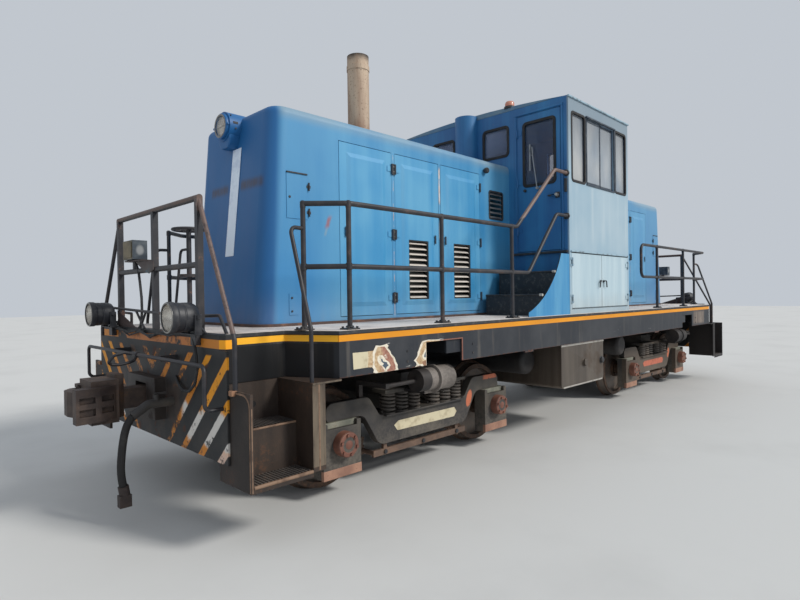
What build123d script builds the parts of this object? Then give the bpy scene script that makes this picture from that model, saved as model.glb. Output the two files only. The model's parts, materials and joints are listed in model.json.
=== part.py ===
from build123d import *

import os
from math import cos, radians, sin, tan

os.makedirs("parts", exist_ok=True)

# A centre-cab diesel locomotive on two four-wheel trucks, in millimetres.
# +X points to the front end, +Y to the left side, +Z up from the floor under the wheel flanges.
# The front and rear halves are alike: a piece of the front half is turned half round for the rear.

# Wheels and trucks
flange_depth = 28
tread_radius = 416
axle_height = tread_radius + flange_depth
truck_centre = 2850
half_wheelbase = 1059
axle_radius = 85
journal_radius = 70
journal_end = 1035
wheel_back = 677
wheel_face = 812
hub_radius = 130
hub_face = 830
running_gap = 0.3

frame_outer = 1010
frame_thickness = 80
frame_half_length = 1180
frame_top = 765
frame_seat = 583
frame_bottom = 323
pad_top = 615
spring_top = 768
spring_radius = 75
spring_places = (140, 302, 464)
spring_y = 970
bolster_top = 900
bolster_half_length = 195
centre_plate_radius = 190
king_pin_radius = 60
transom_inner = 300
transom_outer = 380

# Deck and underframe
deck_top = 1385
deck_thickness = 30
deck_bottom = deck_top - deck_thickness
deck_half_width = 1475
deck_corner_x = 4256
recess_corner_x = 4450
recess_y = 1080
deck_lip = 8
sill_bottom = 1043
sill_plate = 20
beam_back = 4913
sheet_face = 4995
sheet_thickness = 20
sheet_back = sheet_face - sheet_thickness
sheet_half_width = 1235
sheet_bottom = 538
beam_half_width = 1190
beam_bottom = 1285
notch_x = (2855, 3330)
notch_top = 1238

# Couplers
coupler_height = 868
pulling_face = 5596
draft_half_width = 200
draft_plate = 30
draft_back = 4600

# Hoods
hood_half_width = 627
hood_top = 3237
hood_nose_base = 4374
hood_nose_top = 4226
hood_wall = 40
hood_nose_radius = 150
hood_roof_radius = 70
door_bottom = 1440
door_top = 3043
door_gap = 6
door_thickness = 34
hinge_stand_off = 12
hinge_radius = 10
hinge_pin_length = 50
hinge_heights = (1608, 2234, 2881)

# Cab
cab_half_length = 823
cab_half_width = 1440
cab_wall = 50
cab_eave = 3913
cab_roof_peak = 3986
cab_floor_top = 2135
cab_floor_thickness = 40
cab_door_y = (757, 1342)
cab_door_z = (2137, 3807)
cab_door_thickness = 40
door_window_y = (852, 1262)
door_window_z = (2944, 3700)
cabinet_half_length = 775
cabinet_z = (1448, 2101)
glass_thickness = 6

# Handrails
rail_y = 1415
rail_radius = 20
rail_top = 2312
rail_middle = 1849
rail_bend = 90


def save(part, name):
    part.label = name
    export_step(part, f"parts/{name}.step")


def block(x, y, z, mode=Mode.ADD):
    """A box between two places on each axis."""
    middle = ((x[0] + x[1]) / 2, (y[0] + y[1]) / 2, (z[0] + z[1]) / 2)
    with Locations(middle):
        Box(x[1] - x[0], y[1] - y[0], z[1] - z[0], mode=mode)


def rod(start, end, radius, mode=Mode.ADD):
    """A round bar from one point to another."""
    run = Vector(*end) - Vector(*start)
    with Locations(Plane(origin=start, z_dir=run)):
        Cylinder(radius, run.length, align=(Align.CENTER, Align.CENTER, Align.MIN), mode=mode)


def bent_rod(points, bend, radius):
    """A round bar along straight runs that are joined by arcs of one bend radius."""
    with BuildLine() as route:
        FilletPolyline(*points, radius=bend)
    with BuildPart() as bar:
        with BuildSketch(Plane(origin=route.line @ 0, z_dir=route.line % 0)):
            Circle(radius)
        sweep(path=route.line)
    return bar.part


def in_corner(part, end, side):
    """A piece of the front left corner, mirrored into the named corner."""
    with BuildPart() as copy:
        add(part)
        if side == "right":
            mirror(about=Plane.XZ, mode=Mode.REPLACE)
        if end == "rear":
            mirror(about=Plane.YZ, mode=Mode.REPLACE)
    return copy.part


def half_turn_pair(part):
    """A piece of the front half and its like on the rear half."""
    with BuildPart() as pair:
        with PolarLocations(0, 2):
            add(part)
    return pair.part


def four_corners(part):
    """A piece of the front left corner and its likes on the other three corners."""
    with BuildPart() as four:
        add(part)
        mirror(about=Plane.XZ)
        mirror(about=Plane.YZ)
    return four.part


ENDS = ("front", "rear")
SIDES = ("left", "right")


# Deck plate: a long rectangle whose four corners are cut back over the steps


def deck_plan(inset):
    with BuildSketch() as plan:
        with BuildLine():
            Polyline(
                (beam_back, -recess_y),
                (beam_back, recess_y),
                (recess_corner_x, recess_y),
                (deck_corner_x, deck_half_width),
                (-deck_corner_x, deck_half_width),
                (-recess_corner_x, recess_y),
                (-beam_back, recess_y),
                (-beam_back, -recess_y),
                (-recess_corner_x, -recess_y),
                (-deck_corner_x, -deck_half_width),
                (deck_corner_x, -deck_half_width),
                (recess_corner_x, -recess_y),
                close=True,
            )
        make_face()
        if inset:
            offset(amount=-inset, kind=Kind.INTERSECTION, mode=Mode.REPLACE)
    return plan.sketch


deck_outline = deck_plan(0)
sill_outer = deck_plan(deck_lip)
sill_inner = deck_plan(deck_lip + sill_plate)

with BuildPart() as deck_plate:
    with BuildSketch(Plane.XY.offset(deck_bottom)):
        add(deck_outline)
    extrude(amount=deck_thickness)
save(deck_plate.part, "deck_plate")


# Underframe: side sills, centre sills, cross bearers and body bolsters

centre_sill_y = (230, 310)
bearer_places = (0, 700, 1750, 3900, 4600)
bearer_width = 60
bearer_bottom = 1120
body_bolster_bottom = 960
body_bolster_half_length = 200
body_bolster_half_width = 620
inner_half_width = deck_half_width - deck_lip - sill_plate
draft_bottom = coupler_height - 130

with BuildPart() as underframe:
    with BuildSketch(Plane.XY.offset(sill_bottom)):
        add(sill_outer)
        add(sill_inner, mode=Mode.SUBTRACT)
    extrude(amount=deck_bottom - sill_bottom)
    for side in (1, -1):
        y = sorted((side * centre_sill_y[0], side * centre_sill_y[1]))
        block((-sheet_back, sheet_back), y, (sill_bottom, beam_bottom))
    for place in bearer_places:
        half = recess_y - deck_lip if place > deck_corner_x else inner_half_width
        for x in {place, -place}:
            limits_x = (x - bearer_width / 2, x + bearer_width / 2)
            block(limits_x, (-half, half), (bearer_bottom, deck_bottom))
    for x in (truck_centre, -truck_centre):
        limits_x = (x - body_bolster_half_length, x + body_bolster_half_length)
        block(limits_x, (-inner_half_width, inner_half_width), (bearer_bottom, deck_bottom))
        low_half = (-body_bolster_half_width, body_bolster_half_width)
        block(limits_x, low_half, (body_bolster_bottom, bearer_bottom))
        rod((x, 0, bolster_top + running_gap), (x, 0, body_bolster_bottom), centre_plate_radius)
        rod((x, 0, bolster_top - 120), (x, 0, bolster_top + 1), king_pin_radius)
    for x in (notch_x, (-notch_x[1], -notch_x[0])):
        for y in ((inner_half_width, deck_half_width), (-deck_half_width, -inner_half_width)):
            block(x, y, (sill_bottom, notch_top), mode=Mode.SUBTRACT)
save(underframe.part, "underframe")

jack_pad_x = 1750
jack_pad_half_length = 80
jack_pad_depth = 120
jack_pad_bottom = sill_bottom - 16
jack_pad_web = 15

with BuildPart() as jack_pad:
    pad_x = (jack_pad_x - jack_pad_half_length, jack_pad_x + jack_pad_half_length)
    pad_outer = deck_half_width - deck_lip
    block(pad_x, (pad_outer - jack_pad_depth, pad_outer), (jack_pad_bottom, sill_bottom))
    web_x = (jack_pad_x - jack_pad_web, jack_pad_x + jack_pad_web)
    block(web_x, (pad_outer - jack_pad_depth, inner_half_width), (sill_bottom - 1, bearer_bottom))
save(four_corners(jack_pad.part), "jack_pads")


# End sheets: the upright plate at each end, its beam, the striker and the coupler's draft box

striker_half_width = 280
striker_half_height = 160
striker_hole = 105
striker_depth = 90
beam_corner = 50
beam_corner_depth = 20

with BuildPart() as end_sheet:
    block((sheet_back, sheet_face), (-sheet_half_width, sheet_half_width), (sheet_bottom, beam_bottom))
    with BuildSketch(Plane.XY.offset(beam_bottom)):
        with BuildLine():
            Polyline(
                (beam_back, -beam_half_width),
                (sheet_face - beam_corner_depth, -beam_half_width),
                (sheet_face, -beam_half_width + beam_corner),
                (sheet_face, beam_half_width - beam_corner),
                (sheet_face - beam_corner_depth, beam_half_width),
                (beam_back, beam_half_width),
                close=True,
            )
        make_face()
    extrude(amount=deck_top - beam_bottom)
    striker_y = (-striker_half_width, striker_half_width)
    striker_z = (coupler_height - striker_half_height, coupler_height + striker_half_height)
    block((sheet_face, sheet_face + striker_depth), striker_y, striker_z)
    for side in (1, -1):
        plate_y = sorted((side * draft_half_width, side * (draft_half_width + draft_plate)))
        block((draft_back, sheet_back), plate_y, (draft_bottom, sill_bottom))
    with Locations((sheet_face, 0, coupler_height)):
        Box(400, 2 * striker_hole, 2 * striker_hole, mode=Mode.SUBTRACT)
save(half_turn_pair(end_sheet.part), "end_sheets")


# Step wells: two treads between side plates, under the cut-back corners of the deck

step_front = (4955, sheet_back)
step_back_x = (4493, 4505)
step_outer_y = 1490
step_low_z = (438, 450)
step_middle_z = (751, 763)
step_middle_front = 1290
step_plate = 12
step_top_z = 1030
step_top_radius = 90
step_inner_y = recess_y - deck_lip - sill_plate

with BuildPart() as step_well:
    with BuildSketch(Plane.YZ.offset(step_front[0])) as front_plate:
        with BuildLine():
            Polyline(
                (recess_y + 5, step_low_z[0] - 30),
                (step_outer_y, step_low_z[0] - 30),
                (step_outer_y, step_top_z),
                (sheet_half_width, step_top_z),
                (sheet_half_width - 60, step_low_z[1] + 250),
                (recess_y + 5, step_low_z[1] + 60),
                close=True,
            )
        make_face()
        fillet(front_plate.vertices().group_by(Axis.Y)[-1].sort_by(Axis.Z)[-1], step_top_radius)
    extrude(amount=step_front[1] - step_front[0])
    well_x = (step_back_x[1], step_front[0])
    block(well_x, (step_middle_front - step_plate, step_outer_y), step_low_z)
    block(well_x, (step_outer_y - step_plate, step_outer_y), (step_low_z[0] - 30, step_low_z[0]))
    block(well_x, (step_middle_front - step_plate, step_middle_front), (step_low_z[1], step_middle_z[0]))
    block(well_x, (step_inner_y, step_middle_front), step_middle_z)
    block(well_x, (step_inner_y, step_inner_y + step_plate), (step_middle_z[1], sill_bottom))
    block(step_back_x, (step_inner_y, step_outer_y), (step_low_z[0], sill_bottom))
    flange_x = (step_back_x[0] - 95, step_back_x[0])
    block(flange_x, (step_outer_y - step_plate, step_outer_y), (step_low_z[0], sill_bottom))
    with BuildSketch(Plane.XY.offset(sill_bottom - step_plate)):
        with BuildLine():
            Polyline(
                (deck_corner_x - 30, deck_half_width - 30),
                (deck_corner_x, step_outer_y + 5),
                (step_back_x[1], step_outer_y + 5),
                (step_back_x[1], step_inner_y),
                (recess_corner_x, step_inner_y),
                close=True,
            )
        make_face()
    extrude(amount=step_plate)
save(four_corners(step_well.part), "step_wells")


# Side handrails with their posts, base flanges and the grab bars at the steps

post_bend = (4350, 1190)
straight_start = 4110
post_x_door = (3057, 1972)
post_x_plain = (3068, 1922)
plain_end_x = 1320
rise_points = ((1880, rail_top), (1100, 3014))
middle_rise_points = ((1663, rail_middle), (1067, 2520))
base_radius = 48
post_radius = 19
base_height = 15
grab_radius = 15

top_start = (post_bend[0], post_bend[1], rail_top)
middle_start = (post_bend[0], post_bend[1], rail_middle)


def posts(places):
    """Upright posts with base flanges on the deck, from the deck to the top rail."""
    for x, y in places:
        rod((x, y, deck_top), (x, y, rail_top), post_radius)
        rod((x, y, deck_top), (x, y, deck_top + base_height), base_radius)


def rising_rail(height, rise):
    (low_x, low_z), (high_x, high_z) = rise
    points = [
        (post_bend[0], post_bend[1], height),
        (straight_start, rail_y, height),
        (low_x, rail_y, low_z),
        (high_x, rail_y, high_z),
        (cab_half_length, rail_y, high_z),
    ]
    return bent_rod(points, rail_bend, rail_radius)


grab_points = [
    (post_bend[0], post_bend[1], 2130),
    (4480, 1215, 2130),
    (4480, 1450, 1400),
    (4480, 1450, sill_bottom),
]
grab = bent_rod(grab_points, 60, grab_radius)
door_top_rail = rising_rail(rail_top, rise_points)
door_middle_rail = rising_rail(rail_middle, middle_rise_points)

with BuildPart() as door_side_rail:
    posts([post_bend, *((x, rail_y) for x in post_x_door)])
    add(door_top_rail)
    add(door_middle_rail)
    add(grab)

plain_loop_points = [
    (post_bend[0], post_bend[1], rail_top),
    (straight_start, rail_y, rail_top),
    (plain_end_x, rail_y, rail_top),
    (plain_end_x, rail_y, rail_middle),
    (straight_start, rail_y, rail_middle),
    (post_bend[0], post_bend[1], rail_middle),
]
plain_loop = bent_rod(plain_loop_points, rail_bend, rail_radius)

with BuildPart() as plain_rail:
    posts([post_bend, *((x, rail_y) for x in post_x_plain)])
    add(plain_loop)
    add(grab)
    mirror(about=Plane.XZ, mode=Mode.REPLACE)

with BuildPart() as side_handrails:
    with PolarLocations(0, 2):
        add(door_side_rail.part)
        add(plain_rail.part)
save(side_handrails.part, "side_handrails")


# End handrails on the end beams, with a small box on the middle rail

end_rail_x = 4955
end_post_half = 22
end_rail_half_width = 790
end_rail_top = 2341
end_rail_middle = 1868
end_rail_radius = 22
slant_radius = 16
slant_knee = (4965, 1290, 1361)
box_y = (-540, -320)
box_z = (1967, 2127)

slant_points = [(end_rail_x, end_rail_half_width, end_rail_top), slant_knee, (4965, 1290, step_top_z)]
slant = bent_rod(slant_points, 80, slant_radius)

with BuildPart() as end_rail:
    for y in (-end_rail_half_width, 0, end_rail_half_width):
        post_x = (end_rail_x - end_post_half, end_rail_x + end_post_half)
        block(post_x, (y - end_post_half, y + end_post_half), (deck_top, end_rail_top))
    for height in (end_rail_top, end_rail_middle):
        ends_y = end_rail_half_width + (end_post_half if height == end_rail_top else 0)
        rod((end_rail_x, -ends_y, height), (end_rail_x, ends_y, height), end_rail_radius)
    add(slant)
    mirror(slant, about=Plane.XZ)
    block((end_rail_x - 60, end_rail_x + 60), box_y, box_z)
    block((end_rail_x - 15, end_rail_x + 15), (-450, -410), (end_rail_middle, box_z[0]))
save(half_turn_pair(end_rail.part), "end_handrails")


# Hoods: long housings with a raked, rounded nose, open below, with three door openings a side

hood_inner_x = cab_half_length + hood_wall
door_column_half = 22
door_b_c_half = 15
door_c_hinge_x = 1440
door_b_c_x = 2163
door_a_b_x = 2864
door_a_free_x = 3554
louvre_size = (300, 610)
louvre_base = 140
louvre_slats = 11
louvre_slat_size = (38, 6)
louvre_slat_tilt = 40
panel_louvre_x = (967, 1253)
panel_louvre_z = (2537, 2872)
headlight_height = 3142
headlight_radius = 128
headlight_pod_x = (4100, 4345)
nose_plate_x = (3905, 4115)
nose_plate_z = (2292, 2671)
nose_cover_x = (4010, 4105)
nose_cover_z = (1477, 1657)
plate_rise = 5

# Each door: hinge line, way towards the free edge, width with its gaps, louvre
door_a_hinge = door_a_b_x + door_column_half
door_b_hinge = door_a_b_x - door_column_half
DOORS = (
    ("1", door_a_hinge, 1, door_a_free_x - door_a_hinge, False),
    ("2", door_b_hinge, -1, door_b_hinge - door_b_c_x - door_b_c_half, True),
    ("3", door_c_hinge_x, 1, door_b_c_x - door_b_c_half - door_c_hinge_x, True),
)


def hood_block(shrink):
    """The hood's outer form or, with a positive shrink, the space inside its walls."""
    half = hood_half_width - shrink
    with BuildPart() as form:
        with BuildSketch(Plane.XZ):
            with BuildLine():
                Polyline(
                    (cab_half_length + shrink, deck_top),
                    (hood_nose_base - shrink, deck_top),
                    (hood_nose_top - shrink, hood_top - shrink),
                    (cab_half_length + shrink, hood_top - shrink),
                    close=True,
                )
            make_face()
        extrude(amount=half, both=True)
        nose = form.faces().sort_by(Axis.X)[-1]
        fillet(nose.edges().sort_by(SortBy.LENGTH)[-2:], hood_nose_radius - shrink)
        roof_edges = form.faces().sort_by(Axis.Z)[-1].edges()
        fillet(roof_edges.sort_by(Axis.X)[1:], hood_roof_radius - shrink)
    return form.part


def slats(x, z, y_middle, count):
    """Tilted louvre slats across an opening in a side wall."""
    pitch = (z[1] - z[0]) / count
    for number in range(count):
        height = z[0] + (number + 0.5) * pitch
        with Locations(Location(((x[0] + x[1]) / 2, y_middle, height), (-louvre_slat_tilt, 0, 0))):
            Box(x[1] - x[0] + 2, louvre_slat_size[0], louvre_slat_size[1])


hood_outer = hood_block(0)
hood_space = hood_block(hood_wall)

with BuildPart() as hood_shell:
    add(hood_outer)
    add(hood_space, mode=Mode.SUBTRACT)
    through_y = (-hood_half_width - 1, hood_half_width + 1)
    for number, hinge_x, way, width, louvre in DOORS:
        opening_x = sorted((hinge_x, hinge_x + way * width))
        block(opening_x, through_y, (door_bottom, door_top), mode=Mode.SUBTRACT)
    block(panel_louvre_x, through_y, panel_louvre_z, mode=Mode.SUBTRACT)
    for side in (1, -1):
        wall_middle = side * (hood_half_width - hood_wall / 2)
        slats(panel_louvre_x, panel_louvre_z, wall_middle, 6)
        face = sorted((side * (hood_half_width - 1), side * (hood_half_width + plate_rise)))
        block(nose_plate_x, face, nose_plate_z)
        block(nose_cover_x, face, nose_cover_z)
        hinge_y = side * (hood_half_width + hinge_stand_off)
        for number, hinge_x, way, width, louvre in DOORS:
            for height in hinge_heights:
                for end in (1, -1):
                    near = height + end * (hinge_pin_length / 2 + running_gap)
                    far = height + end * hinge_pin_length
                    rod((hinge_x, hinge_y, near), (hinge_x, hinge_y, far), hinge_radius)
                    leaf_x = sorted((hinge_x, hinge_x - way * 20))
                    leaf_y = sorted((side * (hood_half_width - 1), side * (hood_half_width + 7)))
                    block(leaf_x, leaf_y, sorted((near, far)))
    rod(*[(x, 0, headlight_height) for x in headlight_pod_x], headlight_radius)
    add(hood_space, mode=Mode.SUBTRACT)
save(half_turn_pair(hood_shell.part), "hood_shells")


# Hood doors: solid leaves with a raised, bevelled panel, a louvre in two of three, and hinges

door_panel_margin = 85
door_panel_rise = 12
door_panel_taper = 74
latch_size = (90, 14)
latch_stand_off = 16
latch_height = 2220


def hood_door(hinge_x, way, width, louvre):
    """A door of the front left hood side, shut."""
    edge_x = sorted((hinge_x + way * door_gap / 2, hinge_x + way * (width - door_gap)))
    face_y = hood_half_width
    middle_x = (edge_x[0] + edge_x[1]) / 2
    leaf_width = edge_x[1] - edge_x[0]
    bottom = door_bottom + door_gap
    top = door_top - door_gap
    middle_z = (bottom + top) / 2
    with BuildPart() as door:
        block(edge_x, (face_y - door_thickness, face_y), (bottom, top))
        with BuildSketch(Plane(origin=(middle_x, face_y, middle_z), x_dir=(1, 0, 0), z_dir=(0, 1, 0))):
            Rectangle(leaf_width - 2 * door_panel_margin, top - bottom - 2 * door_panel_margin)
        extrude(amount=door_panel_rise, taper=door_panel_taper)
        if louvre:
            louvre_x = (middle_x - louvre_size[0] / 2, middle_x + louvre_size[0] / 2)
            louvre_z = (bottom + louvre_base, bottom + louvre_base + louvre_size[1])
            block(louvre_x, (face_y - 100, face_y + 100), louvre_z, mode=Mode.SUBTRACT)
            slats(louvre_x, louvre_z, face_y - door_thickness / 2, louvre_slats)
        hinge_y = face_y + hinge_stand_off
        for height in hinge_heights:
            low = height - hinge_pin_length / 2
            high = height + hinge_pin_length / 2
            rod((hinge_x, hinge_y, low), (hinge_x, hinge_y, high), hinge_radius)
            leaf_x = sorted((hinge_x, hinge_x + way * 60))
            block(leaf_x, (face_y, face_y + 7), (low, high))
        latch_x = hinge_x + way * (width - 70)
        rod((latch_x, face_y - 1, latch_height), (latch_x, face_y + latch_stand_off, latch_height), 10)
        handle_z = (latch_height - latch_size[0] / 2, latch_height + latch_size[0] / 2)
        block((latch_x - 8, latch_x + 8), (face_y + 8, face_y + latch_stand_off), handle_z)
    return door.part


for number, hinge_x, way, width, louvre in DOORS:
    door = hood_door(hinge_x, way, width, louvre)
    for end in ENDS:
        for side in SIDES:
            save(in_corner(door, end, side), f"hood_door_{end}_{side}_{number}")


# Engines: one plain block under each hood

engine_x = (1250, 3850)
engine_half_width = 450
engine_top = 2900

with BuildPart() as engine:
    block(engine_x, (-engine_half_width, engine_half_width), (deck_top, engine_top))
save(half_turn_pair(engine.part), "engine_blocks")


# Exhaust stacks on the hood roofs

stack_x = 2757
stack_radius = 117
stack_wall = 8
stack_top = 4219
stack_base_radius = 170
stack_band_radius = 123
stack_band_z = (4060, 4110)

with BuildPart() as stack:
    rod((stack_x, 0, hood_top), (stack_x, 0, stack_top), stack_radius)
    rod((stack_x, 0, hood_top), (stack_x, 0, hood_top + 12), stack_base_radius)
    rod((stack_x, 0, stack_band_z[0]), (stack_x, 0, stack_band_z[1]), stack_band_radius)
    bore = [(stack_x, 0, z) for z in (hood_top + 100, stack_top)]
    rod(*bore, stack_radius - stack_wall, mode=Mode.SUBTRACT)
save(half_turn_pair(stack.part), "exhaust_stacks")


# Lamps: a bezel on each headlight pod and two round lamps on brackets on each end beam

bezel_radius = 112
bezel_depth = 30
deck_lamp_y = 840
deck_lamp_height = 1500
deck_lamp_radius = 102
deck_lamp_x = (5000, 5215)
deck_lamp_rim = 108

with BuildPart() as headlight_bezel:
    pod_face = headlight_pod_x[1]
    rod((pod_face, 0, headlight_height), (pod_face + bezel_depth, 0, headlight_height), bezel_radius)

with BuildPart() as deck_lamp:
    for y in (-deck_lamp_y, deck_lamp_y):
        centre = [(x, y, deck_lamp_height) for x in deck_lamp_x]
        rod(*centre, deck_lamp_radius)
        rim_start = (deck_lamp_x[1] - 45, y, deck_lamp_height)
        rod(rim_start, centre[1], deck_lamp_rim)
        block((sheet_face, sheet_face + 40), (y - 40, y + 40), (beam_bottom + 20, deck_lamp_height))
        with Locations((deck_lamp_x[0], y, deck_lamp_height)):
            Sphere(deck_lamp_radius - 20)
        block((deck_lamp_x[0] - 200, sheet_face), (y - 200, y + 200), (1200, 1800), mode=Mode.SUBTRACT)

with BuildPart() as lamps:
    with PolarLocations(0, 2):
        add(headlight_bezel.part)
        add(deck_lamp.part)
save(lamps.part, "lamps")


# Cab: hollow walls with windows, doorways and cabinet openings, a floor and an arched roof

front_window_y = (250, 620)
front_window_z = (3370, 3728)
side_window_z = (2940, 3737)
side_window_x = ((-745, -420), (-380, 380), (420, 745))
duct_radius = 150
duct_centre_x = cab_half_length + 40
duct_top = 3960
hinge_leaf = 60
cab_hinge_heights = (2400, 2990, 3600)
cabinet_hinge_heights = (1560, 1990)
cab_wall_inner = cab_half_length - cab_wall

with BuildPart() as cab_walls:
    outer_x = (-cab_half_length, cab_half_length)
    outer_y = (-cab_half_width, cab_half_width)
    inner_y = (-cab_half_width + cab_wall, cab_half_width - cab_wall)
    block(outer_x, outer_y, (deck_top, cab_eave))
    block((-cab_wall_inner, cab_wall_inner), inner_y, (deck_top, cab_eave), mode=Mode.SUBTRACT)
    floor_z = (cab_floor_top - cab_floor_thickness, cab_floor_top)
    block((-cab_wall_inner, cab_wall_inner), inner_y, floor_z)
    for end in (1, -1):
        wall_x = sorted((end * (cab_wall_inner - 1), end * (cab_half_length + 1)))
        doorway = sorted((end * cab_door_y[0], end * cab_door_y[1]))
        corner_window = sorted((-end * door_window_y[0], -end * door_window_y[1]))
        block(wall_x, doorway, cab_door_z, mode=Mode.SUBTRACT)
        block(wall_x, corner_window, door_window_z, mode=Mode.SUBTRACT)
        for side in (1, -1):
            window_y = sorted((side * front_window_y[0], side * front_window_y[1]))
            block(wall_x, window_y, front_window_z, mode=Mode.SUBTRACT)
            cabinet_y = sorted((side * (cab_half_width - cab_wall - 1), side * (cab_half_width + 1)))
            cabinet_x = (-cabinet_half_length, cabinet_half_length)
            block(cabinet_x, cabinet_y, cabinet_z, mode=Mode.SUBTRACT)
            for window_x in side_window_x:
                block(window_x, cabinet_y, side_window_z, mode=Mode.SUBTRACT)
            hinge_x = end * cabinet_half_length
            hinge_y = side * (cab_half_width + hinge_stand_off)
            for height in cabinet_hinge_heights:
                for way in (1, -1):
                    near = height + way * (hinge_pin_length / 2 + running_gap)
                    far = height + way * hinge_pin_length
                    rod((hinge_x, hinge_y, near), (hinge_x, hinge_y, far), hinge_radius)
                    leaf_x = sorted((hinge_x, hinge_x + end * 30))
                    leaf_y = sorted((side * (cab_half_width - 1), side * (cab_half_width + 7)))
                    block(leaf_x, leaf_y, sorted((near, far)))
        for height in cab_hinge_heights:
            for way in (1, -1):
                near = height + way * (hinge_pin_length / 2 + running_gap)
                far = height + way * hinge_pin_length
                hinge_x = end * (cab_half_length + hinge_stand_off)
                hinge_y = end * cab_door_y[0]
                rod((hinge_x, hinge_y, near), (hinge_x, hinge_y, far), hinge_radius)
                leaf_x = sorted((end * (cab_half_length - 1), end * (cab_half_length + 7)))
                leaf_y = sorted((hinge_y, hinge_y - end * 30))
                block(leaf_x, leaf_y, sorted((near, far)))
        rod((end * duct_centre_x, 0, hood_top), (end * duct_centre_x, 0, duct_top), duct_radius)
        duct_x = sorted((end * (cab_half_length - 1), end * duct_centre_x))
        block(duct_x, (-duct_radius, duct_radius), (hood_top, cab_eave))
    block((-cab_half_length, cab_half_length), outer_y, (cab_eave, cab_eave + 200), mode=Mode.SUBTRACT)
    block((-cab_wall_inner, cab_wall_inner), inner_y, (cab_floor_top, cab_eave), mode=Mode.SUBTRACT)
save(cab_walls.part, "cab_walls")

with BuildPart() as cab_roof:
    with BuildSketch(Plane.YZ.offset(-cab_half_length)):
        with BuildLine():
            Line((cab_half_width, cab_eave), (-cab_half_width, cab_eave))
            ThreePointArc((-cab_half_width, cab_eave), (0, cab_roof_peak), (cab_half_width, cab_eave))
        make_face()
    extrude(amount=2 * cab_half_length)
save(cab_roof.part, "cab_roof")

with BuildPart() as cab_glass:
    for side in (1, -1):
        middle_y = side * (cab_half_width - cab_wall / 2)
        pane_y = (middle_y - glass_thickness / 2, middle_y + glass_thickness / 2)
        for window_x in side_window_x:
            block(window_x, pane_y, side_window_z)
        middle_x = side * (cab_half_length - cab_wall / 2)
        pane_x = (middle_x - glass_thickness / 2, middle_x + glass_thickness / 2)
        block(pane_x, sorted((-side * door_window_y[0], -side * door_window_y[1])), door_window_z)
        for window_y in (front_window_y, (-front_window_y[1], -front_window_y[0])):
            block(pane_x, window_y, front_window_z)
save(cab_glass.part, "cab_glass")

with BuildPart() as cab_door:
    door_x = (cab_half_length - cab_door_thickness, cab_half_length)
    door_y = (cab_door_y[0] + door_gap / 2, cab_door_y[1] - door_gap)
    block(door_x, door_y, (cab_door_z[0] + door_gap, cab_door_z[1] - door_gap))
    block((door_x[0] - 1, door_x[1] + 1), door_window_y, door_window_z, mode=Mode.SUBTRACT)
    hinge_x = cab_half_length + hinge_stand_off
    for height in cab_hinge_heights:
        pin_z = (height - hinge_pin_length / 2, height + hinge_pin_length / 2)
        rod((hinge_x, cab_door_y[0], pin_z[0]), (hinge_x, cab_door_y[0], pin_z[1]), hinge_radius)
        block((cab_half_length, cab_half_length + 7), (cab_door_y[0], cab_door_y[0] + hinge_leaf), pin_z)
    knob = (cab_half_length - 1, 1300, 2780)
    rod(knob, (cab_half_length + 45, 1300, 2780), 12)
    block((cab_half_length + 30, cab_half_length + 45), (1240, 1312), (2770, 2790))

with BuildPart() as cab_door_pane:
    middle_x = cab_half_length - cab_door_thickness / 2
    block((middle_x - glass_thickness / 2, middle_x + glass_thickness / 2), door_window_y, door_window_z)

for end, turn in zip(ENDS, (0, 180)):
    with BuildPart() as placed_door:
        with Locations(Rotation(0, 0, turn)):
            add(cab_door.part)
    save(placed_door.part, f"cab_door_{end}")
    with BuildPart() as placed_pane:
        with Locations(Rotation(0, 0, turn)):
            add(cab_door_pane.part)
    save(placed_pane.part, f"cab_door_glass_{end}")

cabinet_thickness = 34

with BuildPart() as cabinet_door:
    door_x = (door_gap / 2, cabinet_half_length - door_gap / 2)
    door_y = (cab_half_width - cabinet_thickness, cab_half_width)
    block(door_x, door_y, (cabinet_z[0] + door_gap, cabinet_z[1] - door_gap))
    hinge_y = cab_half_width + hinge_stand_off
    for height in cabinet_hinge_heights:
        pin_z = (height - hinge_pin_length / 2, height + hinge_pin_length / 2)
        rod(*[(cabinet_half_length, hinge_y, z) for z in pin_z], hinge_radius)
        leaf_x = (cabinet_half_length - hinge_leaf, cabinet_half_length)
        block(leaf_x, (cab_half_width, cab_half_width + 7), pin_z)
    rod((50, cab_half_width - 1, 1755), (50, cab_half_width + latch_stand_off, 1755), 10)
    block((42, 58), (cab_half_width + 8, cab_half_width + latch_stand_off), (1700, 1770))

for end in ENDS:
    for side in SIDES:
        save(in_corner(cabinet_door.part, end, side), f"cabinet_door_{end}_{side}")

# Cab fittings: a control stand in the two corners that have no door, and a seat behind each

stand_x = (480, cab_wall_inner)
stand_y = (800, 1340)
stand_top = 3050
seat_x = 210
seat_y = 1050

with BuildPart() as control_stand:
    with BuildSketch(Plane.XZ.offset(stand_y[0])):
        with BuildLine():
            Polyline(
                (stand_x[0] + 60, cab_floor_top),
                (stand_x[1], cab_floor_top),
                (stand_x[1], stand_top),
                (stand_x[1] - 120, stand_top),
                (stand_x[0], stand_top - 160),
                (stand_x[0], stand_top - 260),
                (stand_x[0] + 60, stand_top - 320),
                close=True,
            )
        make_face()
    extrude(amount=stand_y[1] - stand_y[0])

with BuildPart() as seat:
    centre = (seat_x, -seat_y)
    rod((*centre, cab_floor_top), (*centre, cab_floor_top + 12), 160)
    rod((*centre, cab_floor_top), (*centre, 2620), 40)
    block((seat_x - 220, seat_x + 220), (-seat_y - 230, -seat_y + 230), (2600, 2700))
    block((seat_x - 260, seat_x - 170), (-seat_y - 220, -seat_y + 220), (2680, 3180))

with BuildPart() as cab_fittings:
    with PolarLocations(0, 2):
        add(control_stand.part)
        add(seat.part)
save(cab_fittings.part, "cab_fittings")


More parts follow.
